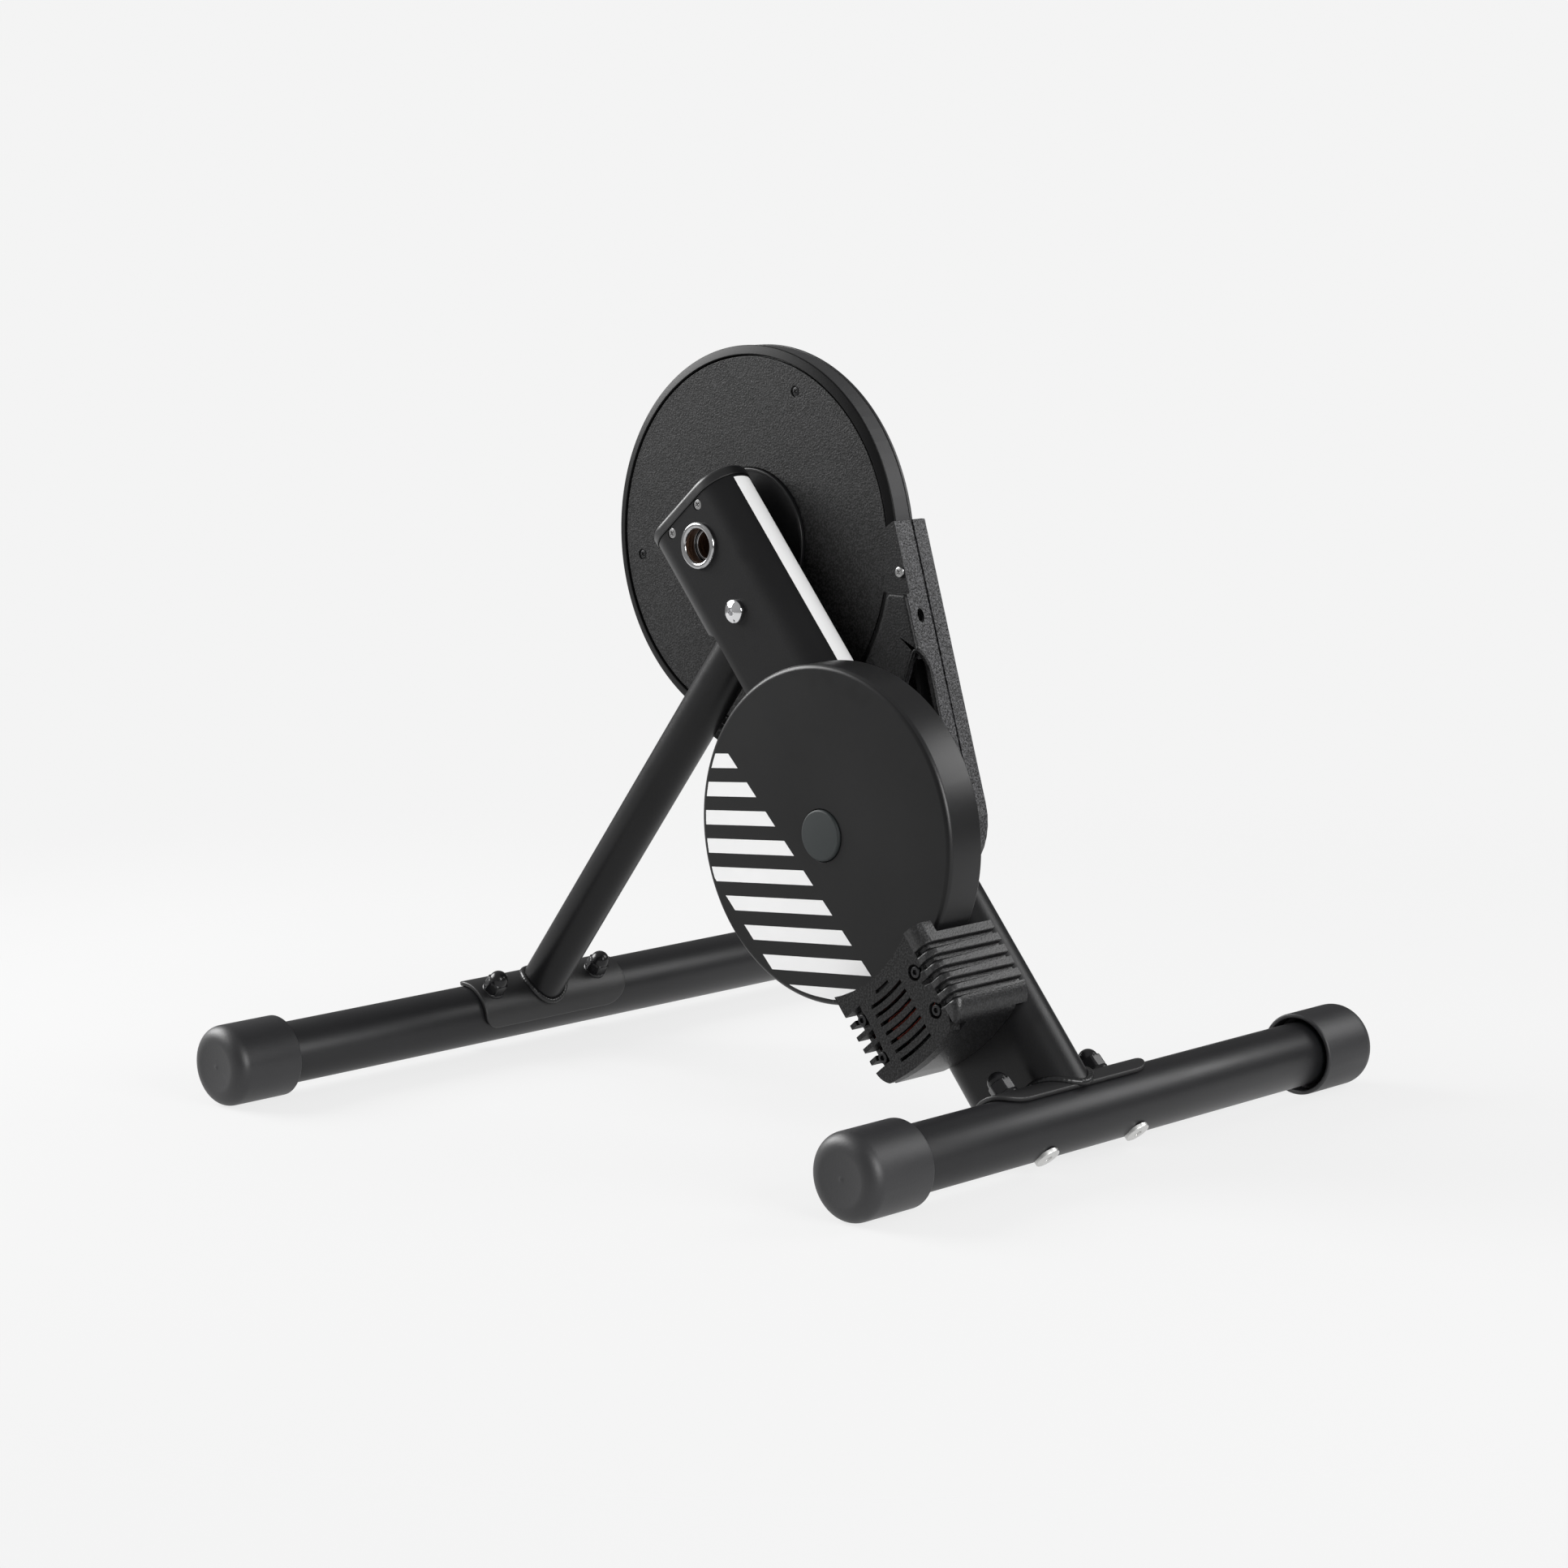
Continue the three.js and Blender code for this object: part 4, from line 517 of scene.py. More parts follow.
def bent_plate(span, middle, corner_left, corner_right):
    """A strip with round corners, bent over a tube. Its outline, in arc length and Y, shrinks to
    its middle in rings on the outer side and grows again on the inner one. A point at arc length a
    and radius r lies at x = r * sin(a / r0) and z = r * cos(a / r0)."""
    half_arc = saddle_outer * saddle_wrap / 2
    low, high = middle - span / 2, middle + span / 2
    loop = rounded(
        [(-half_arc, low), (half_arc, low), (half_arc, high), (-half_arc, high)],
        [corner_right, corner_right, corner_left, corner_left], 10,
    )
    loop = denser(loop, 3)
    heart = np.array([0, middle])
    eased_loop = inset(loop, saddle_edge)
    saddle_inner = saddle_outer - saddle_thickness
    turn = np.linspace(0, np.pi / 2, 5)
    shares = np.linspace(0, 1, saddle_rings)
    rows = [(eased_loop, saddle_outer, share) for share in shares[:-1]]
    rows += [(inset(loop, saddle_edge * (1 - math.sin(t))),
              saddle_outer - saddle_edge * (1 - math.cos(t)), 1) for t in turn]
    rows += [(inset(loop, saddle_edge * (1 - math.cos(t))),
              saddle_inner + saddle_edge * (1 - math.sin(t)), 1) for t in turn]
    rows += [(eased_loop, saddle_inner, share) for share in shares[-2::-1]]
    flat = np.stack([heart + share * (line - heart) for line, _, share in rows])
    radius = np.array([r for _, r, _ in rows])[:, None]
    angle = flat[..., 0] / saddle_outer
    return np.stack([radius * np.sin(angle), flat[..., 1], radius * np.cos(angle)], -1)


def slab(upper, lower):
    """A closed plate from its upper and lower grids of points: each row goes along the upper one
    and back along the lower one, and both ends are closed."""
    around = np.concatenate([upper, lower[:, ::-1]], 1)
    ends = [np.stack([upper[i], lower[i]]) for i in (0, -1)]
    return [(around, False, True), (ends[0], False, False), (ends[1], False, False)]


def tongue():
    """A flat tongue with a round front. Its half width falls as a circle's does near the tip."""
    x = np.linspace(tongue_start, tongue_tip, 26)[:, None]
    beyond = np.clip(x - tongue_flat_end, 0, None)
    half_width = np.sqrt(np.clip((arm_width / 2) ** 2 - (beyond * tongue_taper) ** 2, 0, None))
    y = arm_middle + half_width * np.linspace(-1, 1, 24)[None, :]
    top = np.stack(np.broadcast_arrays(x, y, -arm_foot_drop - rest_gap + 0 * y), -1)
    return [(placed(points, tube_centre["rear"], forward, upright), rows, columns)
            for points, rows, columns in slab(top, top - tongue_thickness * upright)]


saddle_black = coated(
    "saddle_black_coat", dark=(0.008, 0.008, 0.0085), light=(0.012, 0.012, 0.0125),
    rough=(0.46, 0.38), bump=0.05, size=1100, shine=0.55,
)
front_plate = bent_plate(front_saddle_span, arm_middle + front_saddle_shift, *saddle_corners["front"])
front_plate = placed(front_plate, tube_centre["front"], *saddle_axes["front"])
put("front_saddle_plate", [(front_plate, False, True)], saddle_black,
    replaced=["front_saddle"])
rear_plate = bent_plate(rear_saddle_span, arm_middle, *saddle_corners["rear"])
rear_plate = placed(rear_plate, tube_centre["rear"], *saddle_axes["rear"])
put("rear_saddle_plate", [(rear_plate, False, True)] + tongue(), saddle_black,
    replaced=["rear_saddle"])

# Main arm: a flat-oval steel tube that leans over the rear saddle, is welded to it, and carries the
# axle at its top. Its front is cut open for the strut, both walls are bored for the axle bush, and
# the near one is sunk for the cap's two screws.
arm_depth = 79
arm_wall = 3
arm_top = 23.9
arm_on_saddle_gap = 0.1
mouth_corners = [(26.4, -104), (60, -104), (60, -20), (26.4, -50)]
mouth_radii = [4, 1, 1, 5]
through_arm = (-5, 70)
bush_hole = 14.5
cap_screw_level = 20.3
cap_screw_across = 14.7
screw_well_radius = 3.55
screw_well_depth = 1.6
flat_reach = (arm_depth - arm_width) / 2
arm_face = arm_middle + arm_width / 2
tube_from_axle = tube_centre["rear"] - axle
tube_in_arm = np.array([tube_from_axle @ across_arm, tube_from_axle @ along_arm])

satin_black = coated(
    "satin_black_coat", dark=(0.005, 0.005, 0.0055), light=(0.008, 0.008, 0.0085),
    rough=(0.34, 0.28), bump=0.05, size=1100, shine=0.22,
)


def flat_oval(less, steps=32):
    """A flat oval as x and y, drawn in by a distance: two half circles joined by straight sides."""
    turn = np.linspace(-np.pi / 2, np.pi / 2, steps)
    radius = arm_width / 2 - less
    front = np.stack([flat_reach + radius * np.cos(turn), arm_middle + radius * np.sin(turn)], -1)
    rear = np.stack([-flat_reach - radius * np.cos(turn), arm_middle - radius * np.sin(turn)], -1)
    return denser(np.vstack([front, rear]), 5)


def foot_level(x):
    """How far down the arm its wall ends: on the saddle's curve where that is under it, or on the
    tongue in front of it, whichever is higher."""
    gap = np.clip((saddle_outer + arm_on_saddle_gap) ** 2 - (x - tube_in_arm[0]) ** 2, 0, None)
    on_saddle = np.where(gap > 0, tube_in_arm[1] + np.sqrt(gap), -np.inf)
    fall = (-arm_foot_drop + (x - tube_in_arm[0]) * math.cos(arm_lean)) / math.sin(arm_lean)
    return np.maximum(on_saddle, tube_in_arm[1] + fall)


def arm_wall_rows(less, levels):
    """The oval at shares of the way from the foot's edge to the arm's top."""
    loop = flat_oval(less)
    low = foot_level(loop[:, 0])
    z = low + levels[:, None] * (arm_top - low)
    return np.stack(np.broadcast_arrays(loop[:, 0], loop[:, 1], z), -1)


def on_arm(points):
    """Points of the arm's own frame, x square to it and z along it, in the row frame."""
    return placed(points, axle, across_arm, along_arm)


levels = np.linspace(0, 1, 40)
arm_rows = np.concatenate([arm_wall_rows(0, levels), arm_wall_rows(arm_wall, levels[::-1])])
arm_shell = put("arm_tube", [(on_arm(arm_rows), True, True)], satin_black,
                replaced=["main_arm"])


def cut(piece, *grids):
    """Takes closed shapes out of a piece, bakes the cuts into its mesh and smooths it again."""
    tools = []
    for i, grid in enumerate(grids):
        mesh = bpy.data.meshes.new("tool")
        mesh.from_pydata((grid.reshape(-1, 3) * mm).tolist(), [],
                         grid_faces(*grid.shape[:2], False, True).tolist())
        tidied(mesh, 30)
        tool = bpy.data.objects.new("tool", mesh)
        bpy.context.scene.collection.objects.link(tool)
        tools.append(tool)
        change = piece.modifiers.new(f"cut_{i}", "BOOLEAN")
        change.solver = "EXACT"
        change.object = tool
    graph = bpy.context.evaluated_depsgraph_get()
    graph.update()
    finished = bpy.data.meshes.new_from_object(piece.evaluated_get(graph))
    piece.modifiers.clear()
    piece.data = finished
    for tool in tools:
        bpy.data.objects.remove(tool)
    finished.set_sharp_from_angle(angle=math.radians(32))
    even = piece.modifiers.new("even_normals", "WEIGHTED_NORMAL")
    even.keep_sharp = True
    even.weight = 50


def column(loop, low, high, origin, u_axis, v_axis, along=side_axis):
    """A closed column over an outline in two given directions, from low to high along a third."""
    heart = loop.mean(0)
    rows = []
    for level, share in ((low, 0), (low, 1), (high, 1), (high, 0)):
        flat = heart + share * (loop - heart)
        rows.append(origin + flat[:, :1] * u_axis + flat[:, 1:] * v_axis + level * along)
    return np.stack(rows)


def circle(radius, x=0.0, z=0.0, steps=64):
    """Points round a circle."""
    turn = np.linspace(0, 2 * np.pi, steps, endpoint=False)
    return np.stack([x + radius * np.cos(turn), z + radius * np.sin(turn)], -1)


arm_axes = (axle, across_arm, along_arm)
wells = [circle(screw_well_radius, side * cap_screw_across, cap_screw_level, 32) for side in (-1, 1)]
cut(arm_shell,
    column(rounded(mouth_corners, mouth_radii), *through_arm, *arm_axes),
    column(circle(bush_hole), *through_arm, *arm_axes),
    *[column(well, arm_face - screw_well_depth, through_arm[1], *arm_axes) for well in wells])

# Arm end cap: a smooth black moulding on the arm's top, with a rounded rim, a faintly crowned
# top and a thin shadow gap round its foot. Two small countersunk screws hold it.
lid_gap = 0.35
lid_height = 7.3
lid_rim = 3.2
lid_crown = 1.0
lid_overhang = 0.8
lid_foot_chamfer = (0.4, 0.5)
lid_plug_inset = 3.4
lid_plug_depth = 8

cap_plastic = coated(
    "arm_cap_black_plastic", dark=(0.005, 0.005, 0.0055), light=(0.008, 0.008, 0.0085),
    rough=(0.36, 0.28), bump=0.03, size=1300, shine=0.5,
)


def arm_cap():
    """The oval grows out past the arm, turns over a quarter round and closes over a low crown of
    height crown * (1 - share^2)."""
    base = arm_top + lid_gap
    turn = np.linspace(0, np.pi / 2, 9)
    rows = [
        (lid_plug_inset, base - lid_plug_depth),
        (lid_plug_inset, base),
        (lid_foot_chamfer[0] - lid_overhang, base),
        (-lid_overhang, base + lid_foot_chamfer[1]),
    ]
    rows += [(lid_rim * (1 - math.cos(t)) - lid_overhang,
              base + lid_height - lid_rim + lid_rim * math.sin(t)) for t in turn]
    points = [np.column_stack([flat_oval(less), np.full(len(flat_oval(less)), z)]) for less, z in rows]
    last = points[-1]
    heart = np.array([0, arm_middle, 0])
    for share in np.linspace(1, 0, 12)[1:]:
        ring = heart + share * (last - heart)
        ring[:, 2] = base + lid_height + lid_crown * (1 - share ** 2)
        points.append(ring)
    floor_ring = points[0].copy()
    floor_ring[:, :2] = heart[:2]
    return np.stack([floor_ring] + points)


put("arm_top_cap", [(on_arm(arm_cap()), False, True)], cap_plastic,
    replaced=["arm_end_cap"])

# Front strut: a round tube, coped over the front saddle and welded to it, that runs up into the
# arm's open front and is bolted between its walls.
strut_radius = 14.3
strut_wall = 2.5
strut_past_bolt = 14
strut_length = np.linalg.norm(strut_meeting - tube_centre["front"]) + strut_past_bolt


def strut_rows(radius, levels):
    """Circles along the strut. The lowest follows the saddle: z = sqrt(saddle^2 - x^2)."""
    ring = circle(radius, 0, arm_middle, 96)
    low = np.sqrt((saddle_outer + arm_on_saddle_gap) ** 2 - ring[:, 0] ** 2)
    z = low + levels[:, None] * (strut_length - low)
    return np.stack(np.broadcast_arrays(ring[:, 0], ring[:, 1], z), -1)


levels = np.linspace(0, 1, 12)
strut_grid = np.concatenate([strut_rows(strut_radius, levels),
                             strut_rows(strut_radius - strut_wall, levels[::-1])])
put("strut_tube", [(placed(strut_grid, tube_centre["front"], *saddle_axes["front"]), True, True)],
    satin_black, replaced=["front_strut"])

# Welds: smooth beads where the strut and the arm stand on their saddle plates, under the same
# black coat. Each bead follows the foot's edge and swells a little along its length.
weld_ripple = 0.05
weld_unevenness = 0.07
strut_weld_off = 0.6
strut_weld_rise = 0.5
strut_bead = {"width": 2.1, "ripples": 46, "seed": 3}
arm_weld_off = 0.5
arm_weld_rise = 0.6
arm_weld_lift = 0.8
arm_round = 19
arm_bead = {"width": 2.3, "ripples": 90, "seed": 5}

weld_black = coated(
    "weld_black_coat", dark=(0.006, 0.006, 0.0065), light=(0.009, 0.009, 0.0095),
    rough=(0.30, 0.24), bump=0.04, size=900, shine=0.42,
)


def weld_bead(path, outward, width, ripples, seed):
    """A bead along a closed path: a circle whose radius swells and falls in scallops,
    width * (0.95 + 0.05 * |sin(ripples / 2 * t)|), with slow unevenness from a few sine waves."""
    ahead = np.roll(path, -1, 0) - np.roll(path, 1, 0)
    ahead /= np.linalg.norm(ahead, axis=1, keepdims=True)
    outward = outward - (outward * ahead).sum(1, keepdims=True) * ahead
    outward /= np.linalg.norm(outward, axis=1, keepdims=True)
    beside = np.cross(ahead, outward)
    t = np.linspace(0, 2 * np.pi, len(path), endpoint=False)[:, None]
    phases = np.random.default_rng(seed).uniform(0, 2 * np.pi, 4)
    slow = sum(np.sin((k + 2) * t + p) for k, p in enumerate(phases)) / 4
    scallops = 1 - weld_ripple + weld_ripple * np.abs(np.sin(ripples / 2 * t))
    radius = width * (scallops + weld_unevenness * slow)
    turn = np.linspace(0, 2 * np.pi, 14, endpoint=False)[None, :]
    round_it = np.cos(turn)[..., None] * outward[:, None] + np.sin(turn)[..., None] * beside[:, None]
    return path[:, None] + radius[..., None] * round_it


def strut_weld():
    """The path where the strut's side meets the saddle."""
    ring = circle(strut_radius + strut_weld_off, 0, arm_middle, 360)
    z = np.sqrt((saddle_outer + strut_weld_rise) ** 2 - ring[:, 0] ** 2)
    path = np.column_stack([ring[:, 0], ring[:, 1], z])
    outward = np.column_stack([ring[:, 0], ring[:, 1] - arm_middle, 0 * z]) / strut_radius
    outward += np.column_stack([ring[:, 0], 0 * z, z]) / saddle_outer
    bead = weld_bead(path, outward, **strut_bead)
    put("strut_weld", [(placed(bead, tube_centre["front"], *saddle_axes["front"]), True, True)],
        weld_black)


def arm_weld():
    """The path round the arm's foot, on the saddle and on the tongue."""
    loop = denser(flat_oval(-arm_weld_off), 0.5)
    low = foot_level(loop[:, 0]) + arm_weld_rise
    path = np.column_stack([loop, low])
    middle = np.clip(loop[:, 0], -flat_reach, flat_reach)
    outward = np.column_stack([loop[:, 0] - middle, loop[:, 1] - arm_middle, 0 * low]) / arm_round
    outward[:, 2] += arm_weld_lift
    bead = weld_bead(path, outward, **arm_bead)
    put("arm_weld", [(on_arm(bead), True, True)], weld_black)


strut_weld()
arm_weld()

# Axle: a bright steel bush right through the arm and the hollow axle inside it, both turned. Their
# bores are brown with grease.
bush = {"outer": 14.4, "inner": 10.5, "low": 10.65, "high": 54.65}
bush_radii = [0.3, 1.3, 1.5, 0.3]
axle_tube = {"outer": 10.1, "inner": 8.4, "low": -57, "high": 45.35}
axle_tube_radii = [0.3, 0.5, 0.5, 0.3]
film_gap = 0.02
film_thickness = 0.12
bush_film = (46.5, 53.0)
axle_film = (-56, 44.6)
axle_place = axle * np.array([1, 0, 1])

bright_steel = coated(
    "bright_turned_steel", dark=(0.34, 0.34, 0.345), light=(0.48, 0.48, 0.485),
    rough=(0.16, 0.30), bump=0.02, size=1800, metallic=1.0,
)


def collar(name, outer, inner, low, high, radii, node):
    """A turned steel ring with eased edges."""
    profile = rounded([(outer, low), (outer, high), (inner, high), (inner, low)], radii, 4)
    put(name, [turned(profile, axle_place, 128)], bright_steel, "frame", [node], 40)


collar("axle_ring", **bush, radii=bush_radii, node="axle_bush")
collar("axle_tube", **axle_tube, radii=axle_tube_radii, node="hollow_axle")


def greased():
    """Steel under a thin film of brown grease: streaks run round the bore, and where the film is
    thick the surface is darker, smoother and less metallic."""
    made = bpy.data.materials.new("brown_grease")
    made.use_nodes = True
    tree = made.node_tree
    surface = tree.nodes["Principled BSDF"]
    place = tree.nodes.new("ShaderNodeTexCoord").outputs["Object"]
    streaks = noise(tree, place, scale=90, detail=5, stretch=(1, 6, 1))
    colour = blended(tree, limits(tree, streaks, 0.35, 0.65), (0.030, 0.016, 0.010), (0.13, 0.075, 0.05))
    linked(
        tree,
        (colour, surface.inputs["Base Color"]),
        (limits(tree, streaks, 0.35, 0.65, 0.2, 0.4), surface.inputs["Roughness"]),
        (limits(tree, streaks, 0.4, 0.8, 0.1, 0.8), surface.inputs["Metallic"]),
    )
    return made


brown_grease = greased()


def bore_film(name, bore, low, high):
    """A film inside a bore: two circles a hair apart, joined at both ends."""
    outer = bore - film_gap
    inner = outer - film_thickness
    profile = [(outer, low), (outer, high), (inner, high), (inner, low)]
    put(name, [turned(profile, axle_place, 96)], brown_grease)


bore_film("bush_grease", bush["inner"], *bush_film)
bore_film("axle_grease", axle_tube["inner"], *axle_film)

# Flywheel: a heavy steel disc with a satin black coat, whose web is flush with its outer face, and
# the grey-green plastic cap on its middle. Its rim's side has painted light: a lighter, glossier
# copy of the face's paint.
flywheel_down_arm = 209
flywheel_setback = 1
flywheel_radius = 100.8
flywheel_back = 57.05
flywheel_face = 84.55
flywheel_web_back = 72.55
flywheel_rim_inner = 79
flywheel_hub = 23
flywheel_bore = 8.3
pocket_radius = 15.7
pocket_floor = 82.15
flywheel_radii = [1.2, 3.4, 0.5, 0, 0.4, 0.6, 1, 3, 3, 1]
centre_cap_radius = 15.3
centre_cap_edge = 86.2
centre_cap_top = 86.35
centre_cap_radii = [0, 0.3, 1.3, 0]
side_facing_limit = 0.7
flywheel_place = axle - flywheel_down_arm * along_arm - flywheel_setback * across_arm

flywheel_black = coated(
    "satin_black_flywheel", dark=(0.005, 0.005, 0.0053), light=(0.008, 0.008, 0.0083),
    rough=(0.36, 0.30), bump=0.02, size=1500, shine=0.24,
)
# Painted light: the rim's side gets a lighter, glossier copy of the face's paint, standing for the light
# that falls on it.
flywheel_lit_side_black = coated(
    "satin_black_flywheel_painted_lit_side", dark=(0.006, 0.006, 0.0064), light=(0.009, 0.009, 0.0095),
    rough=(0.36, 0.30), bump=0.02, size=1500, shine=0.36,
)
grey_cap = coated(
    "grey_green_cap", dark=(0.020, 0.024, 0.0245), light=(0.024, 0.028, 0.0285),
    rough=(0.55, 0.48), bump=0.02, size=1500, shine=0.3,
)


def repainted(piece, paint, chosen):
    """A second paint on the faces that a test picks by the Y part of their normals."""
    mesh = piece.data
    facing = np.zeros(len(mesh.polygons) * 3)
    mesh.polygons.foreach_get("normal", facing)
    mesh.materials.append(paint)
    mesh.polygons.foreach_set("material_index", chosen(facing[1::3]).astype(int))


profile = rounded(
    [(flywheel_radius, flywheel_back), (flywheel_radius, flywheel_face), (pocket_radius, flywheel_face),
     (pocket_radius, pocket_floor), (flywheel_bore, pocket_floor), (flywheel_bore, flywheel_back),
     (flywheel_hub, flywheel_back), (flywheel_hub, flywheel_web_back),
     (flywheel_rim_inner, flywheel_web_back), (flywheel_rim_inner, flywheel_back)],
    flywheel_radii, 8,
)
disc = put("flywheel_disc", [turned(profile, flywheel_place, 224)], flywheel_black,
           "flywheel", ["flywheel"])
# Painted light on the rim: faces turned away from Y take the lighter side copy.
repainted(disc, flywheel_lit_side_black, lambda y: np.abs(y) < side_facing_limit)
profile = rounded(
    [(0, pocket_floor + rest_gap), (centre_cap_radius, pocket_floor + rest_gap),
     (centre_cap_radius, centre_cap_edge), (0, centre_cap_top)],
    centre_cap_radii, 8,
)
put("flywheel_centre_cap", [turned(profile, flywheel_place, 128, False)], grey_cap,
    "flywheel", ["flywheel_cap"])

# Stripes: white print on the flywheel's lower front, parallel bars cut off along a slanted line
# behind and along the rim and a second slanted line in front.
stripe_count = 9
stripe_first = 47.9
stripe_pitch = 17.28
stripe_height = 8.75
stripe_slope = -0.082
cut_slope = 1.036
rear_cut = -38.07
front_cut = -128.6
print_radius = 96.7
print_thickness = 0.1

white_print = coated(
    "white_print", dark=(0.72, 0.72, 0.72), light=(0.76, 0.76, 0.76),
    rough=(0.45, 0.4), bump=0.01, size=1500,
)


def stripe(i):
    """One bar. At a level z0 a line z = z0 + slope * x runs from the rear cut to whichever comes
    first, the front cut or the circle x^2 + z^2 = radius^2."""
    level = stripe_first - i * stripe_pitch - stripe_height * np.linspace(0, 1, 12)
    rear = (level - rear_cut) / (cut_slope - stripe_slope)
    front = (level - front_cut) / (cut_slope - stripe_slope)
    a = 1 + stripe_slope ** 2
    inside = (level * stripe_slope) ** 2 - a * (level ** 2 - print_radius ** 2)
    root = np.sqrt(np.clip(inside, 0, None))
    front = np.minimum(front, (-level * stripe_slope + root) / a)
    rear = np.maximum(rear, (-level * stripe_slope - root) / a)
    share = np.linspace(0, 1, 24)[None, :]
    x = rear[:, None] + share * (front - rear)[:, None]
    z = level[:, None] + stripe_slope * x
    top = np.stack([x, np.full(x.shape, flywheel_face + print_thickness), z], -1) + flywheel_place
    return slab(top, top - 2 * print_thickness * side_axis)


stripes = [grid for i in range(stripe_count) for grid in stripe(i)]
put("flywheel_stripes", stripes, white_print, "flywheel")

# White tape: a plain strip stuck down the arm's rear rounding, from under the end cap to behind
# the flywheel.
tape_angles = (math.radians(-52), math.radians(14.5))
tape_levels = (22.3, -160)
tape_half_thickness = 0.15

white_tape = coated(
    "white_tape", dark=(0.84, 0.84, 0.84), light=(0.88, 0.88, 0.88),
    rough=(0.5, 0.42), bump=0.02, size=1200,
)


def tape_strip():
    """A strip on the rear half circle: x = -reach - r * cos(a), y = middle + r * sin(a)."""
    angle = np.linspace(*tape_angles, 18)[None, :]
    level = np.linspace(*tape_levels, 30)[:, None]
    rows = []
    for offset in (tape_half_thickness, -tape_half_thickness):
        radius = arm_width / 2 + offset
        x = -flat_reach - radius * np.cos(angle)
        y = arm_middle + radius * np.sin(angle)
        rows.append(on_arm(np.stack(np.broadcast_arrays(x, y, level), -1)))
    return slab(*rows)


put("arm_tape", tape_strip(), white_tape)

# Pulley: a cast wheel with a bevelled rim, a disc of grained plastic screwed over its face and a
# smooth plastic cover with a raised edge round its hub. The rim's bevel has painted shade: it is
# painted near black, with less shine than the wheel.
pulley_radius = 120.8
belt_seat = 117.3
belt_flange = (-10.5, -8.5)
pulley_rim_inner = 107
pulley_hub = 27
pulley_bore = 17.3
pulley_front = 4.0
pulley_web = (-3.6, 1.4)
pulley_hub_back = -12.5
pulley_radii = [0.4, 0.4, 0.3, 0.3, 0.5, 2, 2, 0.5, 0.4, 0.4, 0.5, 2, 2, 0.5]
bevel_foot = 3.9
bevel_edge = 5.3
bevel_top = 7.1
bevel_top_radius = 115.2
bevel_inner_radius = 114.3
bevel_radii = [0, 0.3, 0.6, 0.5, 0]
disc_radius = 114
disc_hole = 45.7
disc_back = 4.3
disc_face = 6.3
disc_radii = [0.3, 0.5, 0.3, 0.2]
cover_screw_circle = 100.6
cover_screw_turns = [112.5, 232.5, 352.5]
cover_screw_hole = 3.5
cover_screw_hole_ends = (5.5, 9)
hub_cover_radius = 45.4
hub_cover_edge = (43.6, 8.8)
hub_cover_face = (43.2, 8.2)
hub_cover_bore = 15.0
hub_cover_radii = [0.3, 0.7, 0.35, 0.2, 0.5, 0.3]

cast_black = coated(
    "black_casting", dark=(0.010, 0.010, 0.0105), light=(0.014, 0.014, 0.0145),
    rough=(0.42, 0.36), bump=0.05, size=900,
)
# Painted shade: the rim's bevel is darker and duller than the wheel's casting, standing for the shade
# and dark reflections on it.
rim_painted_shade = coated(
    "rim_painted_shade_coat", dark=(0.003, 0.003, 0.0032), light=(0.005, 0.005, 0.0052),
    rough=(0.40, 0.34), bump=0.03, size=1200, shine=0.1,
)
smooth_plastic = coated(
    "smooth_black_plastic", dark=(0.004, 0.004, 0.0045), light=(0.006, 0.006, 0.0065),
    rough=(0.34, 0.26), bump=0.02, size=1500, shine=0.3,
)


def grain_effect():
    """Moulded leather-like grain: Height from cells whose edges are pressed in, broken up by small
    noise, Patch from specks and slow blotches, and a faint Rub."""
    group, entry, leave = effect("grain")
    place = group.nodes.new("ShaderNodeTexCoord").outputs["Object"]
    cells = group.nodes.new("ShaderNodeTexVoronoi")
    cells.feature = "SMOOTH_F1"
    cells.inputs["Smoothness"].default_value = 0.6
    cells.inputs["Randomness"].default_value = 1.0
    linked(group, (place, cells.inputs["Vector"]), (entry.outputs["Size"], cells.inputs["Scale"]))
    fine = noise(group, place, scale=1500)
    speck = noise(group, place, scale=850, detail=1)
    slow = noise(group, place, scale=9, detail=4)
    rubs = noise(group, place, scale=50, detail=5, stretch=(1, 0.2, 1))
    height = calc(group, "ADD", cells.outputs["Distance"], calc(group, "MULTIPLY", fine, 0.7))
    patch = calc(group, "ADD", calc(group, "MULTIPLY", limits(group, speck, 0.44, 0.62), 0.85),
                 calc(group, "MULTIPLY", limits(group, slow, 0.3, 0.7), 0.15))
    linked(
        group,
        (height, leave.inputs["Height"]),
        (patch, leave.inputs["Patch"]),
        (limits(group, rubs, 0.5, 0.75), leave.inputs["Rub"]),
    )
    return group


grain = grain_effect()
grained_plastic = coated(
    "grained_black_plastic", dark=(0.001, 0.001, 0.001), light=(0.020, 0.020, 0.0205),
    rough=(0.50, 0.42), bump=0.16, size=850, group=grain, shine=0.22,
)


def on_pulley(name, corners, radii, steps, paint, around=224, replaced=()):
    """A piece turned about the axle that rides on the pulley."""
    profile = rounded(corners, radii, steps)
    return put(name, [turned(profile, axle_place, around)], paint, "pulley", replaced)


on_pulley(
    "pulley_wheel",
    [(pulley_radius, belt_flange[0]), (pulley_radius, belt_flange[1]), (belt_seat, belt_flange[1]),
     (belt_seat, pulley_front), (pulley_rim_inner, pulley_front), (pulley_rim_inner, pulley_web[1]),
     (pulley_hub, pulley_web[1]), (pulley_hub, pulley_front), (pulley_bore, pulley_front),
     (pulley_bore, pulley_hub_back), (pulley_hub, pulley_hub_back), (pulley_hub, pulley_web[0]),
     (pulley_rim_inner, pulley_web[0]), (pulley_rim_inner, belt_flange[0])],
    pulley_radii, 4, cast_black, replaced=["drive_pulley"],
)
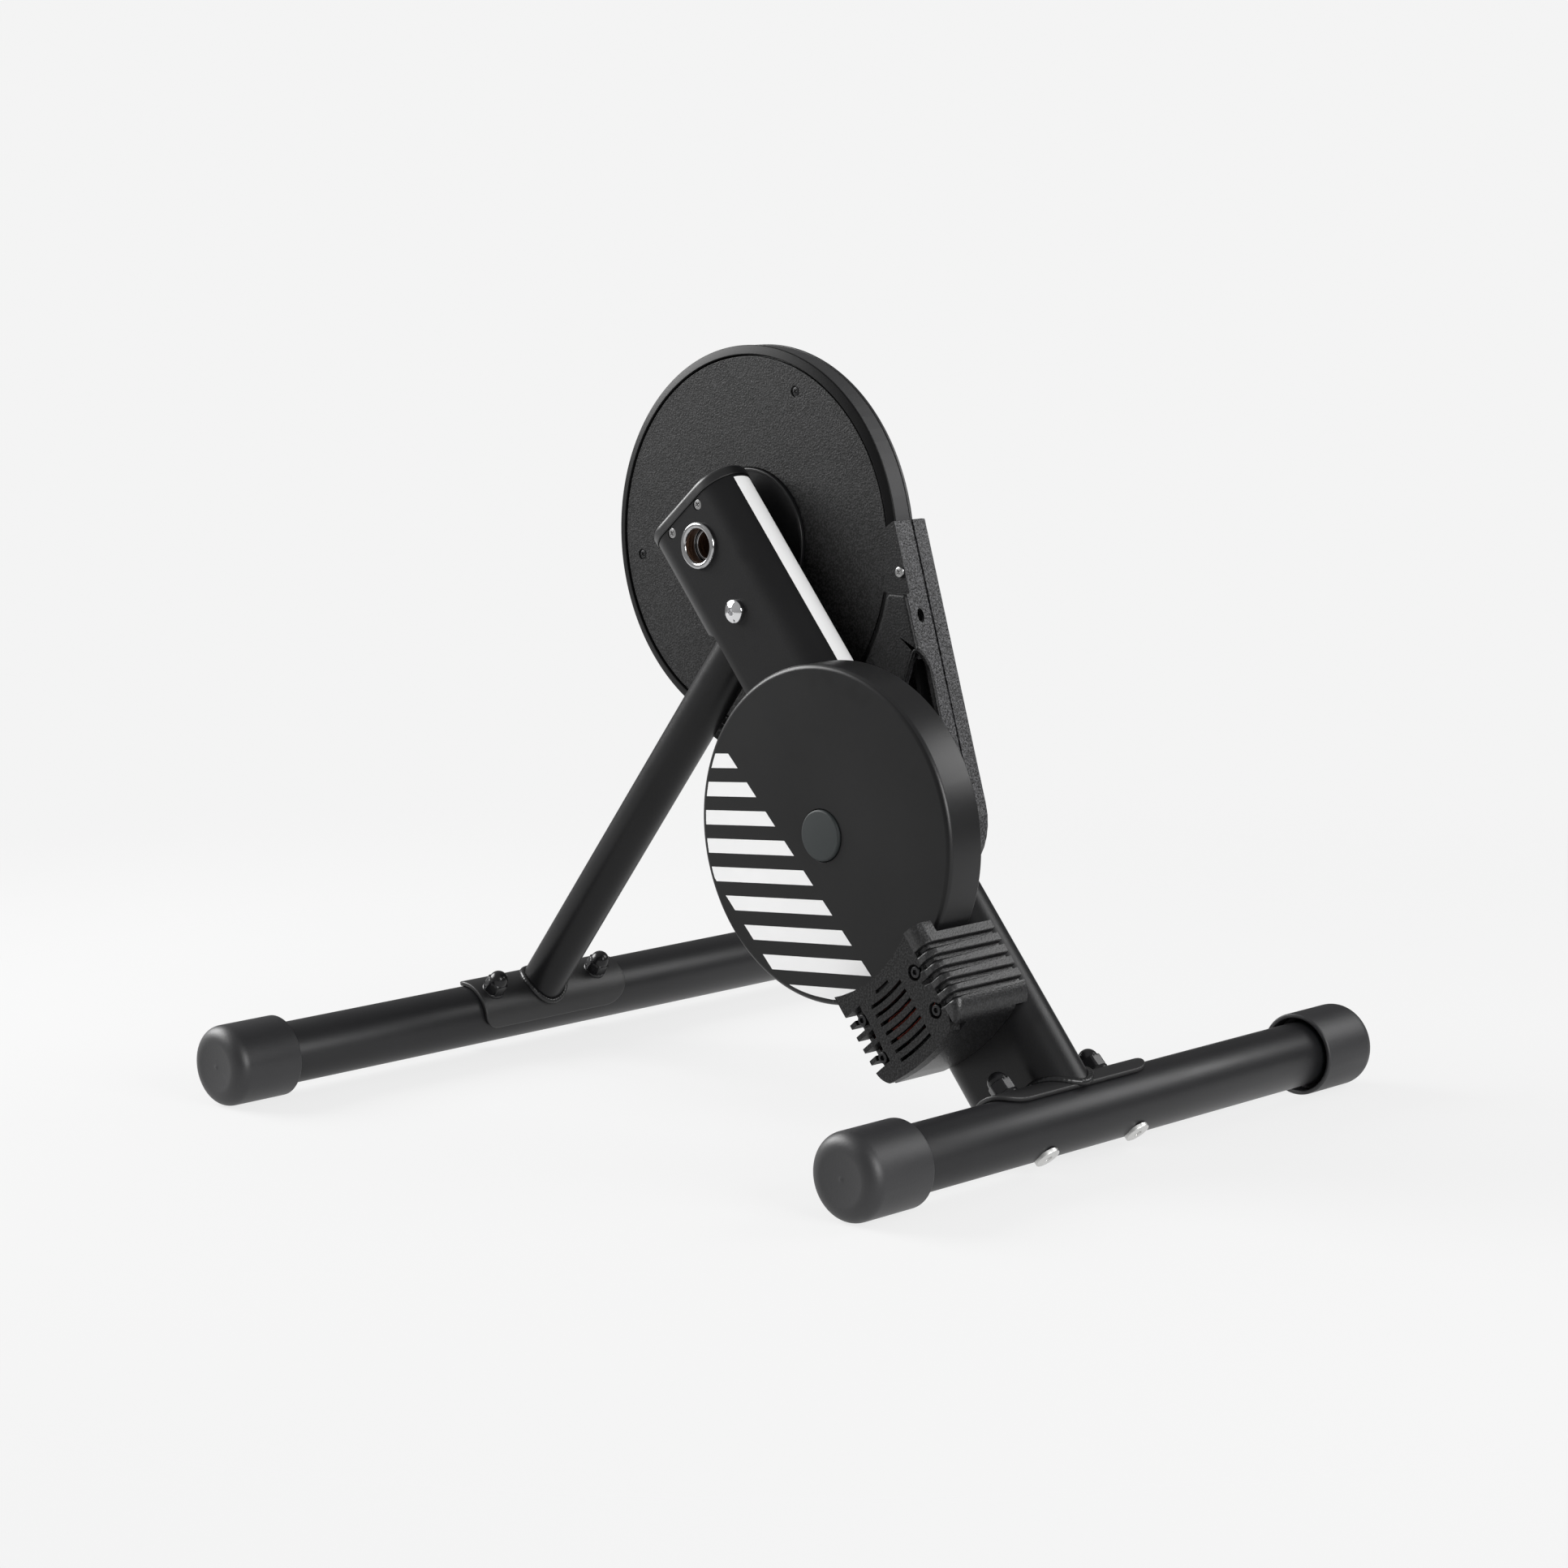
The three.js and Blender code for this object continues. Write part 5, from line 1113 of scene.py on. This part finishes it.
# The bevelled rim in its painted shade paint.
on_pulley(
    "pulley_rim",
    [(belt_seat, bevel_foot), (pulley_radius, bevel_foot), (pulley_radius, bevel_edge),
     (bevel_top_radius, bevel_top), (bevel_inner_radius, bevel_foot)],
    bevel_radii, 5, rim_painted_shade,
)
pulley_face = on_pulley(
    "pulley_face",
    [(disc_radius, disc_back), (disc_radius, disc_face), (disc_hole, disc_face), (disc_hole, disc_back)],
    disc_radii, 4, grained_plastic, replaced=["pulley_cover"],
)
screw_turns = np.radians(cover_screw_turns)
screw_spots = cover_screw_circle * np.stack([np.cos(screw_turns), np.sin(screw_turns)], -1)
cut(pulley_face, *[column(circle(cover_screw_hole, *spot, 32), *cover_screw_hole_ends, axle_place,
                          forward, upright) for spot in screw_spots])
on_pulley(
    "hub_disc",
    [(hub_cover_radius, disc_back), (hub_cover_radius, hub_cover_edge[1]), hub_cover_edge,
     hub_cover_face, (hub_cover_bore, hub_cover_face[1]), (hub_cover_bore, disc_back)],
    hub_cover_radii, 5, smooth_plastic, 160, ["hub_cover"],
)

# Guard: two grained mouldings that meet in a seam down their rear wall and close the belt and the
# pulleys' rears in. The near one has an oval hole in its wall, a pocket with a rib and a swelling
# beside it, and a screw. Its web, rib and swelling take a darker copy of its paint: painted shade
# where the flywheel and arm shade the web, with the web's own finer, smoother grain as well.
guard_radius = 124.3
wall_across, wall_up = -0.9617, 0.274
wall_normal = np.array([wall_across, 0, wall_up])
wall_along = np.array([wall_up, 0, -wall_across])
hole_below_axle = 38
hole_side = 5.2
hole_radii = (2.7, 4.4)
wall_middle = axle + np.array([(guard_radius + wall_up * hole_below_axle) / wall_across,
                               hole_side, -hole_below_axle])
hole_reach = (4.5, 3.1, 4.7)
hole_side_limit = 0.6
hole_ends = (-6, 3)
near_edge, near_edge_steps = 1.5, 4
far_edge, far_edge_steps = 0.9, 3
corner_notch = rounded([(-151, -60.5), (-144.5, -60.5), (-155.5, -110), (-165, -110)], [0, 3, 0, 0])
corner_notch_ends = (8.4, 17)
top_notch = np.array([(-123.6, 17.9), (-109, 8.7), (-109, 30), (-123.6, 30)])
top_notch_ends = (5.5, 17)
seam = np.array([(-9.75, -260), (-8.7, -260), (-8.7, 70), (-9.75, 70)])
seam_ends = (-1.2, 3)
seam_shift = (0.8, 0)
web_facing_limit = 0.8
rib_route = [
    (-127.5, 13.2, -99), (-135.0, 13.9, -78), (-141.8, 14.2, -60.8), (-144.6, 14.1, -58.0),
    (-147.0, 12.3, -60.3), (-148.9, 9.4, -66), (-151.0, 8.3, -74), (-158.6, 8.2, -104),
]
rib_steps = 80
rib_radius, rib_tip = 1.45, 0.02
swell_turns = np.radians(np.linspace(211.5, 193, 12))
swell_radius = 124.4
swell_corners = [(-136.3, -25.5), (-145.7, -58.4), (-143.2, -57.4), (-130.6, -91.0), (-108.6, -66.0)]
swell_corner_radii = [2.2, 0.8, 1.5, 2, 0]
swell_top_corner, swell_top_corner_radius = (-123.6, -25.2), 1.2
swell_heart = np.array([-131, -50.0])
swell_base, swell_top, swell_edge = 12.2, 15.5, 1.5

guard_plastic = coated(
    "guard_black_plastic", dark=(0.001, 0.001, 0.0012), light=(0.060, 0.060, 0.064),
    rough=(0.42, 0.34), bump=0.30, size=620, group=grain, shine=0.44,
)
# Painted shade: a darker copy of the guard's paint for the web, which lies in shade; its finer,
# shallower grain is the web's own.
web_painted_shade_plastic = coated(
    "guard_web_painted_shade_plastic", dark=(0.001, 0.001, 0.0012), light=(0.013, 0.013, 0.0135),
    rough=(0.46, 0.38), bump=0.14, size=900, group=grain, shine=0.24,
)


def eased(node, paint, width, segments, body="frame", mend=None):
    """A merged copy of a solid, flat faces joined, with its sharp edges rounded by a width."""
    mesh = frame["nodes"][node].data.copy()
    mesh.name = f"{node}_eased"
    work = bmesh.new()
    work.from_mesh(mesh)
    bmesh.ops.remove_doubles(work, verts=work.verts, dist=merge_distance)
    if mend:
        mend(work)
    bmesh.ops.dissolve_limit(work, angle_limit=math.radians(0.5), verts=work.verts, edges=work.edges)
    work.to_mesh(mesh)
    work.free()
    mesh.shade_smooth()
    mesh.set_sharp_from_angle(angle=math.radians(30))
    mesh.materials.clear()
    mesh.materials.append(paint)
    made = bpy.data.objects.new(f"{node}_eased", mesh)
    bpy.context.scene.collection.objects.link(made)
    edge = made.modifiers.new("edges", "BEVEL")
    edge.width = width * mm
    edge.segments = segments
    edge.limit_method = "ANGLE"
    edge.angle_limit = math.radians(34)
    edge.harden_normals = True
    even = made.modifiers.new("even_normals", "WEIGHTED_NORMAL")
    even.keep_sharp = True
    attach(made, body)
    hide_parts(node)
    return made


def mended_wall(work):
    """Closes the square opening in the wall: its sides go, and each of its two rims gets a face."""
    for _ in range(2):
        inside = [v for v in work.verts
                  if np.all(np.abs(np.array(v.co) / mm - wall_middle) < hole_reach)]
        sides = [f for f in work.faces if all(v in inside for v in f.verts)
                 and abs(np.array(f.normal) @ wall_normal) < hole_side_limit]
        bmesh.ops.delete(work, geom=sides, context="FACES_ONLY")
    rims = [e for e in work.edges if e.is_boundary]
    bmesh.ops.holes_fill(work, edges=rims, sides=8)
    bmesh.ops.recalc_face_normals(work, faces=work.faces)


def bead(path, radius, steps=12):
    """A round bead along an open path of points in the row frame: each point carries a circle
    square to the path's direction."""
    ahead = np.roll(path, -1, 0) - np.roll(path, 1, 0)
    ahead[0], ahead[-1] = path[1] - path[0], path[-1] - path[-2]
    ahead /= np.linalg.norm(ahead, axis=1, keepdims=True)
    beside = np.cross(ahead, side_axis)
    beside /= np.linalg.norm(beside, axis=1, keepdims=True)
    turn = np.linspace(0, 2 * np.pi, steps, endpoint=False)[None, :, None]
    third = np.cross(ahead, beside)
    around = np.cos(turn) * beside[:, None] + np.sin(turn) * third[:, None]
    return path[:, None] + radius[:, None, None] * around


def curve(corners, count):
    """A smooth curve through points: each coordinate is a cubic in t between two points, whose slope
    at a point is half the step from the one before it to the one after it."""
    corners = np.array(corners, float)
    slope = np.gradient(corners, axis=0)
    t = np.linspace(0, len(corners) - 1, count)
    i = np.minimum(t.astype(int), len(corners) - 2)
    u = (t - i)[:, None]
    return ((2 * u ** 3 - 3 * u ** 2 + 1) * corners[i] + (u ** 3 - 2 * u ** 2 + u) * slope[i]
            + (3 * u ** 2 - 2 * u ** 3) * corners[i + 1] + (u ** 3 - u ** 2) * slope[i + 1])


def raised(loop, heart, base, top, edge):
    """A flat rise over an outline: it goes up from its base, turns over a quarter round of the edge's
    radius and closes over its middle in rings at shares of the way to it."""
    turn = np.linspace(0, np.pi / 2, 7)
    rows = [(heart + 0 * loop, base), (loop, base)]
    rows += [(inset(loop, edge * (1 - math.cos(t))), top - edge + edge * math.sin(t)) for t in turn]
    inner = rows[-1][0]
    rows += [(heart + share * (inner - heart), top) for share in np.linspace(1, 0, 10)[1:]]
    return np.stack([np.column_stack([flat[:, 0], np.full(len(flat), float(level)), flat[:, 1]])
                     for flat, level in rows])


near_guard = eased("guard_near_half", guard_plastic, near_edge, near_edge_steps,
                   mend=mended_wall)
far_guard = eased("guard_far_half", guard_plastic, far_edge, far_edge_steps)
wall_axes = (wall_middle, side_axis, wall_along, wall_normal)
cut(near_guard,
    column(circle(1, 0, 0, 40) * hole_radii, *hole_ends, *wall_axes),
    column(corner_notch, *corner_notch_ends, axle_place, forward, upright),
    column(top_notch, *top_notch_ends, axle_place, forward, upright),
    column(seam, *seam_ends, *wall_axes))
cut(far_guard, column(seam - seam_shift, *seam_ends, *wall_axes))
# Painted shade on the near web: faces turned toward Y take the darker copy.
repainted(near_guard, web_painted_shade_plastic, lambda y: y > web_facing_limit)

# The rib and the swelling lie on the web and take its painted shade paint.
rib = curve(rib_route, rib_steps) + axle_place
rib_radii = np.concatenate([[rib_tip], np.full(rib_steps - 2, rib_radius), [rib_tip]])
put("guard_pocket_rib", [(bead(rib, rib_radii), False, True)], web_painted_shade_plastic)

swell_arc = swell_radius * np.stack([np.cos(swell_turns), np.sin(swell_turns)], -1)
swell = rounded([*swell_corners, *swell_arc, swell_top_corner],
                [*swell_corner_radii, *np.zeros(len(swell_arc)), swell_top_corner_radius])
swell = raised(denser(swell, 2.5), swell_heart, swell_base, swell_top, swell_edge)
put("guard_swell", [(swell + axle_place, False, True)], web_painted_shade_plastic)

# Brake housing: a grained casting bolted to the arm. Its rear edge is broadly rounded, and deep
# cooling grooves run along its rear face, over the edge and out onto its near face.
brake_rear = 45.7
brake_near = 103.1
brake_top = -80
brake_foot = -156
brake_edge, heel_edge, floor_edge = 6.5, 2.2, 0.7
brake_heel = 15
brake_floor = 151.4
floor_end = math.radians(286)
tool_margin = 3
tool_slack = 0.8
heel_tool_margin = (4, 1.5)
heel_tool_ends = (38, 110)
groove_first = 100.9
groove_pitch = 8
groove_ends = (-33.2, -29.0, -27.0, -33.2, -29.5)
groove_start = 40
grooves_in_cover = (1, 2, 4)
groove_section = np.array([
    (1.9, -1.5), (1.9, 0.0), (1.5, 0.25), (1.25, 0.7), (1.2, 3.4), (0.9, 3.7),
    (-0.9, 3.7), (-1.2, 3.3), (-1.2, 0.75), (-1.2, 0.28), (-1.2, 0.0), (-1.2, -1.5),
])
groove_flare = np.array([0, 0, 0, 0, 0, 0, 0, 0.02, 1.3, 1.65, 2.1, 2.1])
groove_fade = (0.95, 0.8, 0.5, 0.2)
groove_flare_start = 0.1
block_edge, cover_edge, brake_edge_steps = 0.7, 0.5, 3
flywheel_line = flywheel_place * np.array([1, 0, 1])
heel_centre = np.array([brake_heel - brake_rear,
                        -math.sqrt((brake_floor - brake_heel) ** 2 - (brake_rear - brake_heel) ** 2)])
heel_turn = math.atan2(heel_centre[1], heel_centre[0]) % (2 * math.pi)

cast_grain = coated(
    "grained_casting", dark=(0.002, 0.002, 0.0022), light=(0.016, 0.016, 0.017),
    rough=(0.38, 0.30), bump=0.12, size=900, group=grain, shine=0.5,
)


def on_brake(points):
    """Points of the brake's frame, x square to the arm from the flywheel's centre and z along the
    arm, in the row frame."""
    return placed(points, flywheel_line, across_arm, along_arm)


def around(turn):
    """Unit directions at angles."""
    return np.stack([np.cos(turn), np.sin(turn)], -1)


def with_ends(points):
    """A grid of rows closed at both ends: a row gathered in its own middle is put at each end."""
    ends = [np.repeat(points[i].mean(0)[None], points.shape[1], 0)[None] for i in (0, -1)]
    return np.concatenate([ends[0], points, ends[1]])


def brake_edge_tool():
    """All that lies outside the near edge's rounding. Its section is carried down the rear face,
    round the heel and along the curved floor, while the rounding's radius falls."""
    on_heel = around(np.linspace(np.pi, heel_turn, 18))
    on_floor = around(np.linspace(heel_turn, floor_end, 40)[1:])
    down = np.stack([np.full(12, -brake_rear), np.linspace(brake_top, heel_centre[1] + 1, 12)], -1)
    path = np.vstack([down, heel_centre + brake_heel * on_heel, brake_floor * on_floor])
    normal = np.vstack([np.tile((-1.0, 0.0), (len(down), 1)), on_heel, on_floor])
    radius = np.concatenate([
        np.full(len(down), brake_edge),
        np.linspace(brake_edge, heel_edge, len(on_heel)),
        np.linspace(heel_edge, floor_edge, len(on_floor)),
    ])[:, None]
    turn = np.linspace(0, np.pi / 2, 12)
    margin = np.full((len(path), 1), float(tool_margin))
    outward = np.hstack([margin, radius * (np.cos(turn) - 1), -radius, margin])
    level = np.hstack([
        brake_near - radius - tool_slack,
        brake_near + radius * (np.sin(turn) - 1),
        brake_near + margin,
        brake_near + margin,
    ])
    points = np.stack([path[:, :1] + outward * normal[:, :1], level,
                       path[:, 1:] + outward * normal[:, 1:]], -1)
    return on_brake(with_ends(points))


def brake_heel_tool():
    """All that lies outside the rounding between the rear face and the curved floor."""
    beyond, tuck = heel_tool_margin
    arc = heel_centre + brake_heel * around(np.linspace(np.pi, heel_turn, 16))
    outer = -brake_rear - beyond
    low_end = [(arc[-1][0] - tuck, brake_foot), (outer, brake_foot)]
    loop = np.vstack([[(outer, heel_centre[1])], arc, low_end])
    return column(loop, *heel_tool_ends, flywheel_line, across_arm, along_arm)


def groove_tool(middle, end):
    """A groove's section, w along the arm and d into the face, carried along the rear face, round
    the near edge and along the near face, where it runs out: point = P - d * normal + w * z."""
    turn = np.linspace(np.pi, np.pi / 2, 12)
    corner = np.array([brake_edge - brake_rear, brake_near - brake_edge])
    arc = corner + brake_edge * around(turn)
    straight = np.stack([np.full(9, -brake_rear), np.linspace(groove_start, corner[1] - 0.5, 9)], -1)
    out = np.stack([np.linspace(corner[0] + 1, end, 6), np.full(6, brake_near)], -1)
    path = np.vstack([straight, arc, out])
    normal = np.vstack([np.tile((-1, 0), (len(straight), 1)), around(turn),
                        np.tile((0, 1), (len(out), 1))])
    depth = np.concatenate([np.ones(len(path) - len(groove_fade)), groove_fade])[:, None]
    widening = np.concatenate([np.linspace(groove_flare_start, 1, len(straight)),
                               np.ones(len(arc) + len(out))])[:, None]
    w = groove_section[:, 0] - groove_flare * widening
    deep = np.where(groove_section[:, 1] > 0, groove_section[:, 1] * depth, groove_section[:, 1])
    flat = path[:, None] - deep[..., None] * normal[:, None]
    return on_brake(with_ends(np.stack([flat[..., 0], flat[..., 1], middle + w], -1)))


block = eased("brake_body", cast_grain, block_edge, brake_edge_steps)
grooves = [groove_tool(-groove_first - i * groove_pitch, end) for i, end in enumerate(groove_ends)]
cut(block, brake_edge_tool(), brake_heel_tool(), *grooves)
cover = eased("brake_cover", grained_plastic, cover_edge, brake_edge_steps)
cut(cover, brake_edge_tool(), *[grooves[i] for i in grooves_in_cover])

# Screws, bolts and cap nuts: bright ones hold the arm's cap, the strut, the guard and the rear
# foot, black ones the covers, the brake and the front foot. Each head is turned, then pressed.
facing_left = (across_arm, along_arm, side_axis)
strut_bolt_below_axle = 49.5
guard_screw_place = np.array([-82.6, 0, 327.2])
brake_screw_across = 26.8
brake_screw_levels = {"upper": 108.2, "lower": 133.5}
bolt_across = {"front": 44.7, "rear": 39.8}
shank_overlap = 0.1

screw_steel = coated(
    "plain_screw_steel", dark=(0.22, 0.22, 0.22), light=(0.34, 0.34, 0.34),
    rough=(0.30, 0.42), bump=0.02, size=1500, metallic=1.0,
)
chrome = coated(
    "chromed_button", dark=(0.62, 0.62, 0.63), light=(0.72, 0.72, 0.73),
    rough=(0.08, 0.2), bump=0.01, size=1500, metallic=1.0,
)
black_screw = coated(
    "black_oxide_screw", dark=(0.010, 0.010, 0.011), light=(0.018, 0.018, 0.019),
    rough=(0.32, 0.42), bump=0.02, size=1500, metallic=0.5,
)
dark_steel = coated(
    "dark_oxide_steel", dark=(0.02, 0.02, 0.022), light=(0.035, 0.035, 0.037),
    rough=(0.34, 0.42), bump=0.02, size=1500, metallic=0.9,
)
gloss_black = coated(
    "gloss_black_nut", dark=(0.005, 0.005, 0.0055), light=(0.009, 0.009, 0.010),
    rough=(0.26, 0.34), bump=0.02, size=1500, shine=0.35,
)
zinc_steel = coated(
    "zinc_plated_steel", dark=(0.52, 0.52, 0.51), light=(0.66, 0.66, 0.65),
    rough=(0.40, 0.5), bump=0.03, size=1500, metallic=0.9,
)
bolt_paint = {"front": (dark_steel, "darkSteel"), "rear": (zinc_steel, "brightSteel")}


def smooth(value):
    """A step from 0 to 1 that is half at zero: 3 t^2 - 2 t^3 with t = value + 1 / 2, clipped."""
    t = np.clip(value + 0.5, 0, 1)
    return t * t * (3 - 2 * t)


def cross_recess(x, y, size):
    """A cross: two bars that narrow towards their ends."""
    u, v = np.abs(x), np.abs(y)
    along, beside = np.maximum(u, v), np.minimum(u, v)
    bar = 0.2 * size * (1.15 - 0.35 * along / size)
    return smooth((bar - beside) / (0.16 * size)) * smooth((size - along) / (0.3 * size))


def hex_recess(x, y, size):
    """A hexagon: the largest of three distances across its flats."""
    turns = np.radians([0, 60, 120])
    reach = np.max([np.abs(x * np.cos(t) + y * np.sin(t)) for t in turns], axis=0)
    return smooth((size - reach) / (0.16 * size))


def screw(radius, seat, top, crown, edge, recess, size, depth, shank, shank_end):
    """A head and a shank about z. The head's top falls by crown * (r / radius)^2 and by the recess's
    depth, turns over a quarter round and goes down to its seat."""
    turn = np.linspace(0, 2 * np.pi, 72, endpoint=False)
    around_z = np.stack([np.cos(turn), np.sin(turn)], -1)
    r = (radius - edge) * np.linspace(0, 1, 34)[:, None]
    x, y = r * np.cos(turn), r * np.sin(turn)
    z = top - crown * (r / radius) ** 2 - depth * recess(x, y, size)
    rim_top = top - crown * ((radius - edge) / radius) ** 2
    rings = [(radius - edge + edge * math.sin(t), rim_top - edge + edge * math.cos(t))
             for t in np.linspace(0, np.pi / 2, 5)[1:]]
    rings += [(radius, seat), (0, seat)]
    head = [np.stack(np.broadcast_arrays(x, y, z), -1)]
    head += [np.column_stack([ring * around_z, np.full(len(turn), float(level))])[None]
             for ring, level in rings]
    rod = column(circle(shank, steps=24), shank_end, seat + shank_overlap, np.zeros(3), *np.eye(3))
    return [np.concatenate(head), rod]


def fastener(name, node, parts, origin, axes, paint, slot, body="frame"):
    """Parts drawn about z, turned to three given axes and moved to their place."""
    turned_parts = [(origin + grid @ np.stack(axes), False, True) for grid in parts]
    put(name, turned_parts, paint, body, [node], 40)


for side, sign in (("rear", -1), ("front", 1)):
    cap_screw = screw(radius=3.2, seat=50.7, top=51.95, crown=0.25, edge=0.3,
                      recess=cross_recess, size=1.75, depth=0.9, shank=1.6, shank_end=43.5)
    place = axle + sign * cap_screw_across * across_arm + cap_screw_level * along_arm
    fastener(f"cap_screw_{side}_head", f"cap_screw_{side}", cap_screw, place, facing_left,
             screw_steel, "brightSteel")
strut_bolt = screw(radius=7.2, seat=52.3, top=56.85, crown=2.3, edge=0.9,
                   recess=hex_recess, size=2.1, depth=1.7, shank=4.2, shank_end=14)
fastener("strut_bolt_head", "strut_bolt", strut_bolt, axle - strut_bolt_below_axle * along_arm,
         facing_left, chrome, "brightSteel")
guard_screw = screw(radius=3.2, seat=11.0, top=12.75, crown=0.4, edge=0.4,
                    recess=cross_recess, size=1.8, depth=0.8, shank=1.6, shank_end=2)
fastener("guard_screw_head", "guard_screw", guard_screw, guard_screw_place, facing_left,
         screw_steel, "brightSteel")
for number, (x, z) in enumerate(screw_spots, 1):
    cover_screw = screw(radius=2.6, seat=4.6, top=6.05, crown=0.25, edge=0.35,
                        recess=cross_recess, size=1.5, depth=0.8, shank=1.4, shank_end=1.6)
    fastener(f"cover_screw_{number}_head", f"cover_screw_{number}", cover_screw,
             axle_place + x * forward + z * upright, facing_left, black_screw, "blackScrew", "pulley")
for side, sign in (("rear", -1), ("front", 1)):
    for height, level in brake_screw_levels.items():
        brake_screw = screw(radius=3.3, seat=99.2, top=101.9, crown=0.15, edge=0.45,
                            recess=hex_recess, size=1.45, depth=1.5, shank=1.9, shank_end=88)
        place = on_brake(np.array([sign * brake_screw_across, 0.0, -level]))
        fastener(f"brake_screw_{side}_{height}_head", f"brake_screw_{side}_{height}", brake_screw,
                 place, facing_left, black_screw, "blackScrew")

nut_flat = 6.5
nut_corner_share = 1.125
nut_collar = [(0.0, 21.6), (7.4, 21.6), (7.4, 23.4), (7.15, 23.7)]
nut_bar = [(6.9, 23.8), (9.0, 24.2), (9.0, 29.6), (7.15, 30.9)]
nut_neck = [(6.45, 31.3), (6.2, 31.5)]
nut_dome_radius = 6.2
nut_dome_foot = 31.8


def cap_nut():
    """A hexagon bar whose corners are turned off by a cone, with a collar at its foot and a round
    dome on top. In each direction the radius is the smaller of the hexagon's and the cone's."""
    turn = np.linspace(0, 2 * np.pi, 96, endpoint=False)
    beyond = (turn + np.pi / 6) % (np.pi / 3) - np.pi / 6
    hexagon = np.minimum(nut_flat / np.cos(beyond), nut_flat * nut_corner_share)
    dome = [(nut_dome_radius * math.cos(t), nut_dome_foot + nut_dome_radius * math.sin(t))
            for t in np.linspace(0, np.pi / 2, 10)]
    grid = []
    for outline, is_hexagon in ((nut_collar, False), (nut_bar, True), (nut_neck + dome, False)):
        for radius, level in outline:
            r = np.minimum(hexagon, radius) if is_hexagon else np.full(len(turn), radius)
            grid.append(np.stack([r * np.cos(turn), r * np.sin(turn), np.full(len(turn), level)], -1))
    return np.stack(grid)


for place, across in bolt_across.items():
    x_axis, z_axis = saddle_axes[place]
    for side, sign in (("left", 1), ("right", -1)):
        foot_bolt = screw(radius=7.6, seat=18.9, top=21.6, crown=0.25, edge=0.55,
                          recess=hex_recess, size=2.2, depth=1.6, shank=4, shank_end=-28)
        origin = tube_centre[place] + (arm_middle + sign * across) * side_axis
        fastener(f"{place}_bolt_{side}_head", f"{place}_bolt_{side}", foot_bolt, origin,
                 (x_axis, side_axis, -z_axis), *bolt_paint[place])
        fastener(f"{place}_nut_{side}_dome", f"{place}_nut_{side}", [cap_nut()], origin,
                 (x_axis, side_axis, z_axis), gloss_black, "blackScrew")

# Remaining solids: the belt, the far-side pieces and the inner parts keep the shape of their
# solids. Each gets a finish of its own: rubber, copper, board, stacked or ground steel.
belt_rubber = coated(
    "belt_rubber", dark=(0.022, 0.022, 0.023), light=(0.03, 0.03, 0.031),
    rough=(0.6, 0.5), bump=0.06, size=900,
)
copper_wire = coated(
    "lacquered_copper", dark=(0.55, 0.06, 0.03), light=(0.75, 0.12, 0.05),
    rough=(0.4, 0.3), bump=0.05, size=900, metallic=0.2,
)
board_green = coated(
    "green_board", dark=(0.01, 0.06, 0.025), light=(0.015, 0.075, 0.03),
    rough=(0.45, 0.4), bump=0.02, size=900,
)
stacked_steel = coated(
    "stacked_steel", dark=(0.10, 0.10, 0.105), light=(0.14, 0.14, 0.145),
    rough=(0.45, 0.4), bump=0.05, size=900, metallic=0.8,
)
ground_steel = coated(
    "ground_steel", dark=(0.32, 0.32, 0.33), light=(0.4, 0.4, 0.41),
    rough=(0.28, 0.36), bump=0.01, size=1500, metallic=1.0,
)
paints = {
    "satinBlack": satin_black, "grainedBlack": grained_plastic, "smoothPlastic": smooth_plastic,
    "rubber": matt_rubber, "belt": belt_rubber, "castBlack": cast_black,
    "flywheelBlack": flywheel_black, "capGrey": grey_cap, "brightSteel": bright_steel,
    "darkSteel": dark_steel, "blackScrew": black_screw, "bearingSteel": ground_steel,
    "laminatedSteel": stacked_steel, "copper": copper_wire, "board": board_green,
}
for part in frame["record"]["subparts"]:
    shown = frame["nodes"][part["node"]]
    if not shown.hide_render:
        for entry in shown.material_slots:
            entry.material = paints[part["material_slot"]]
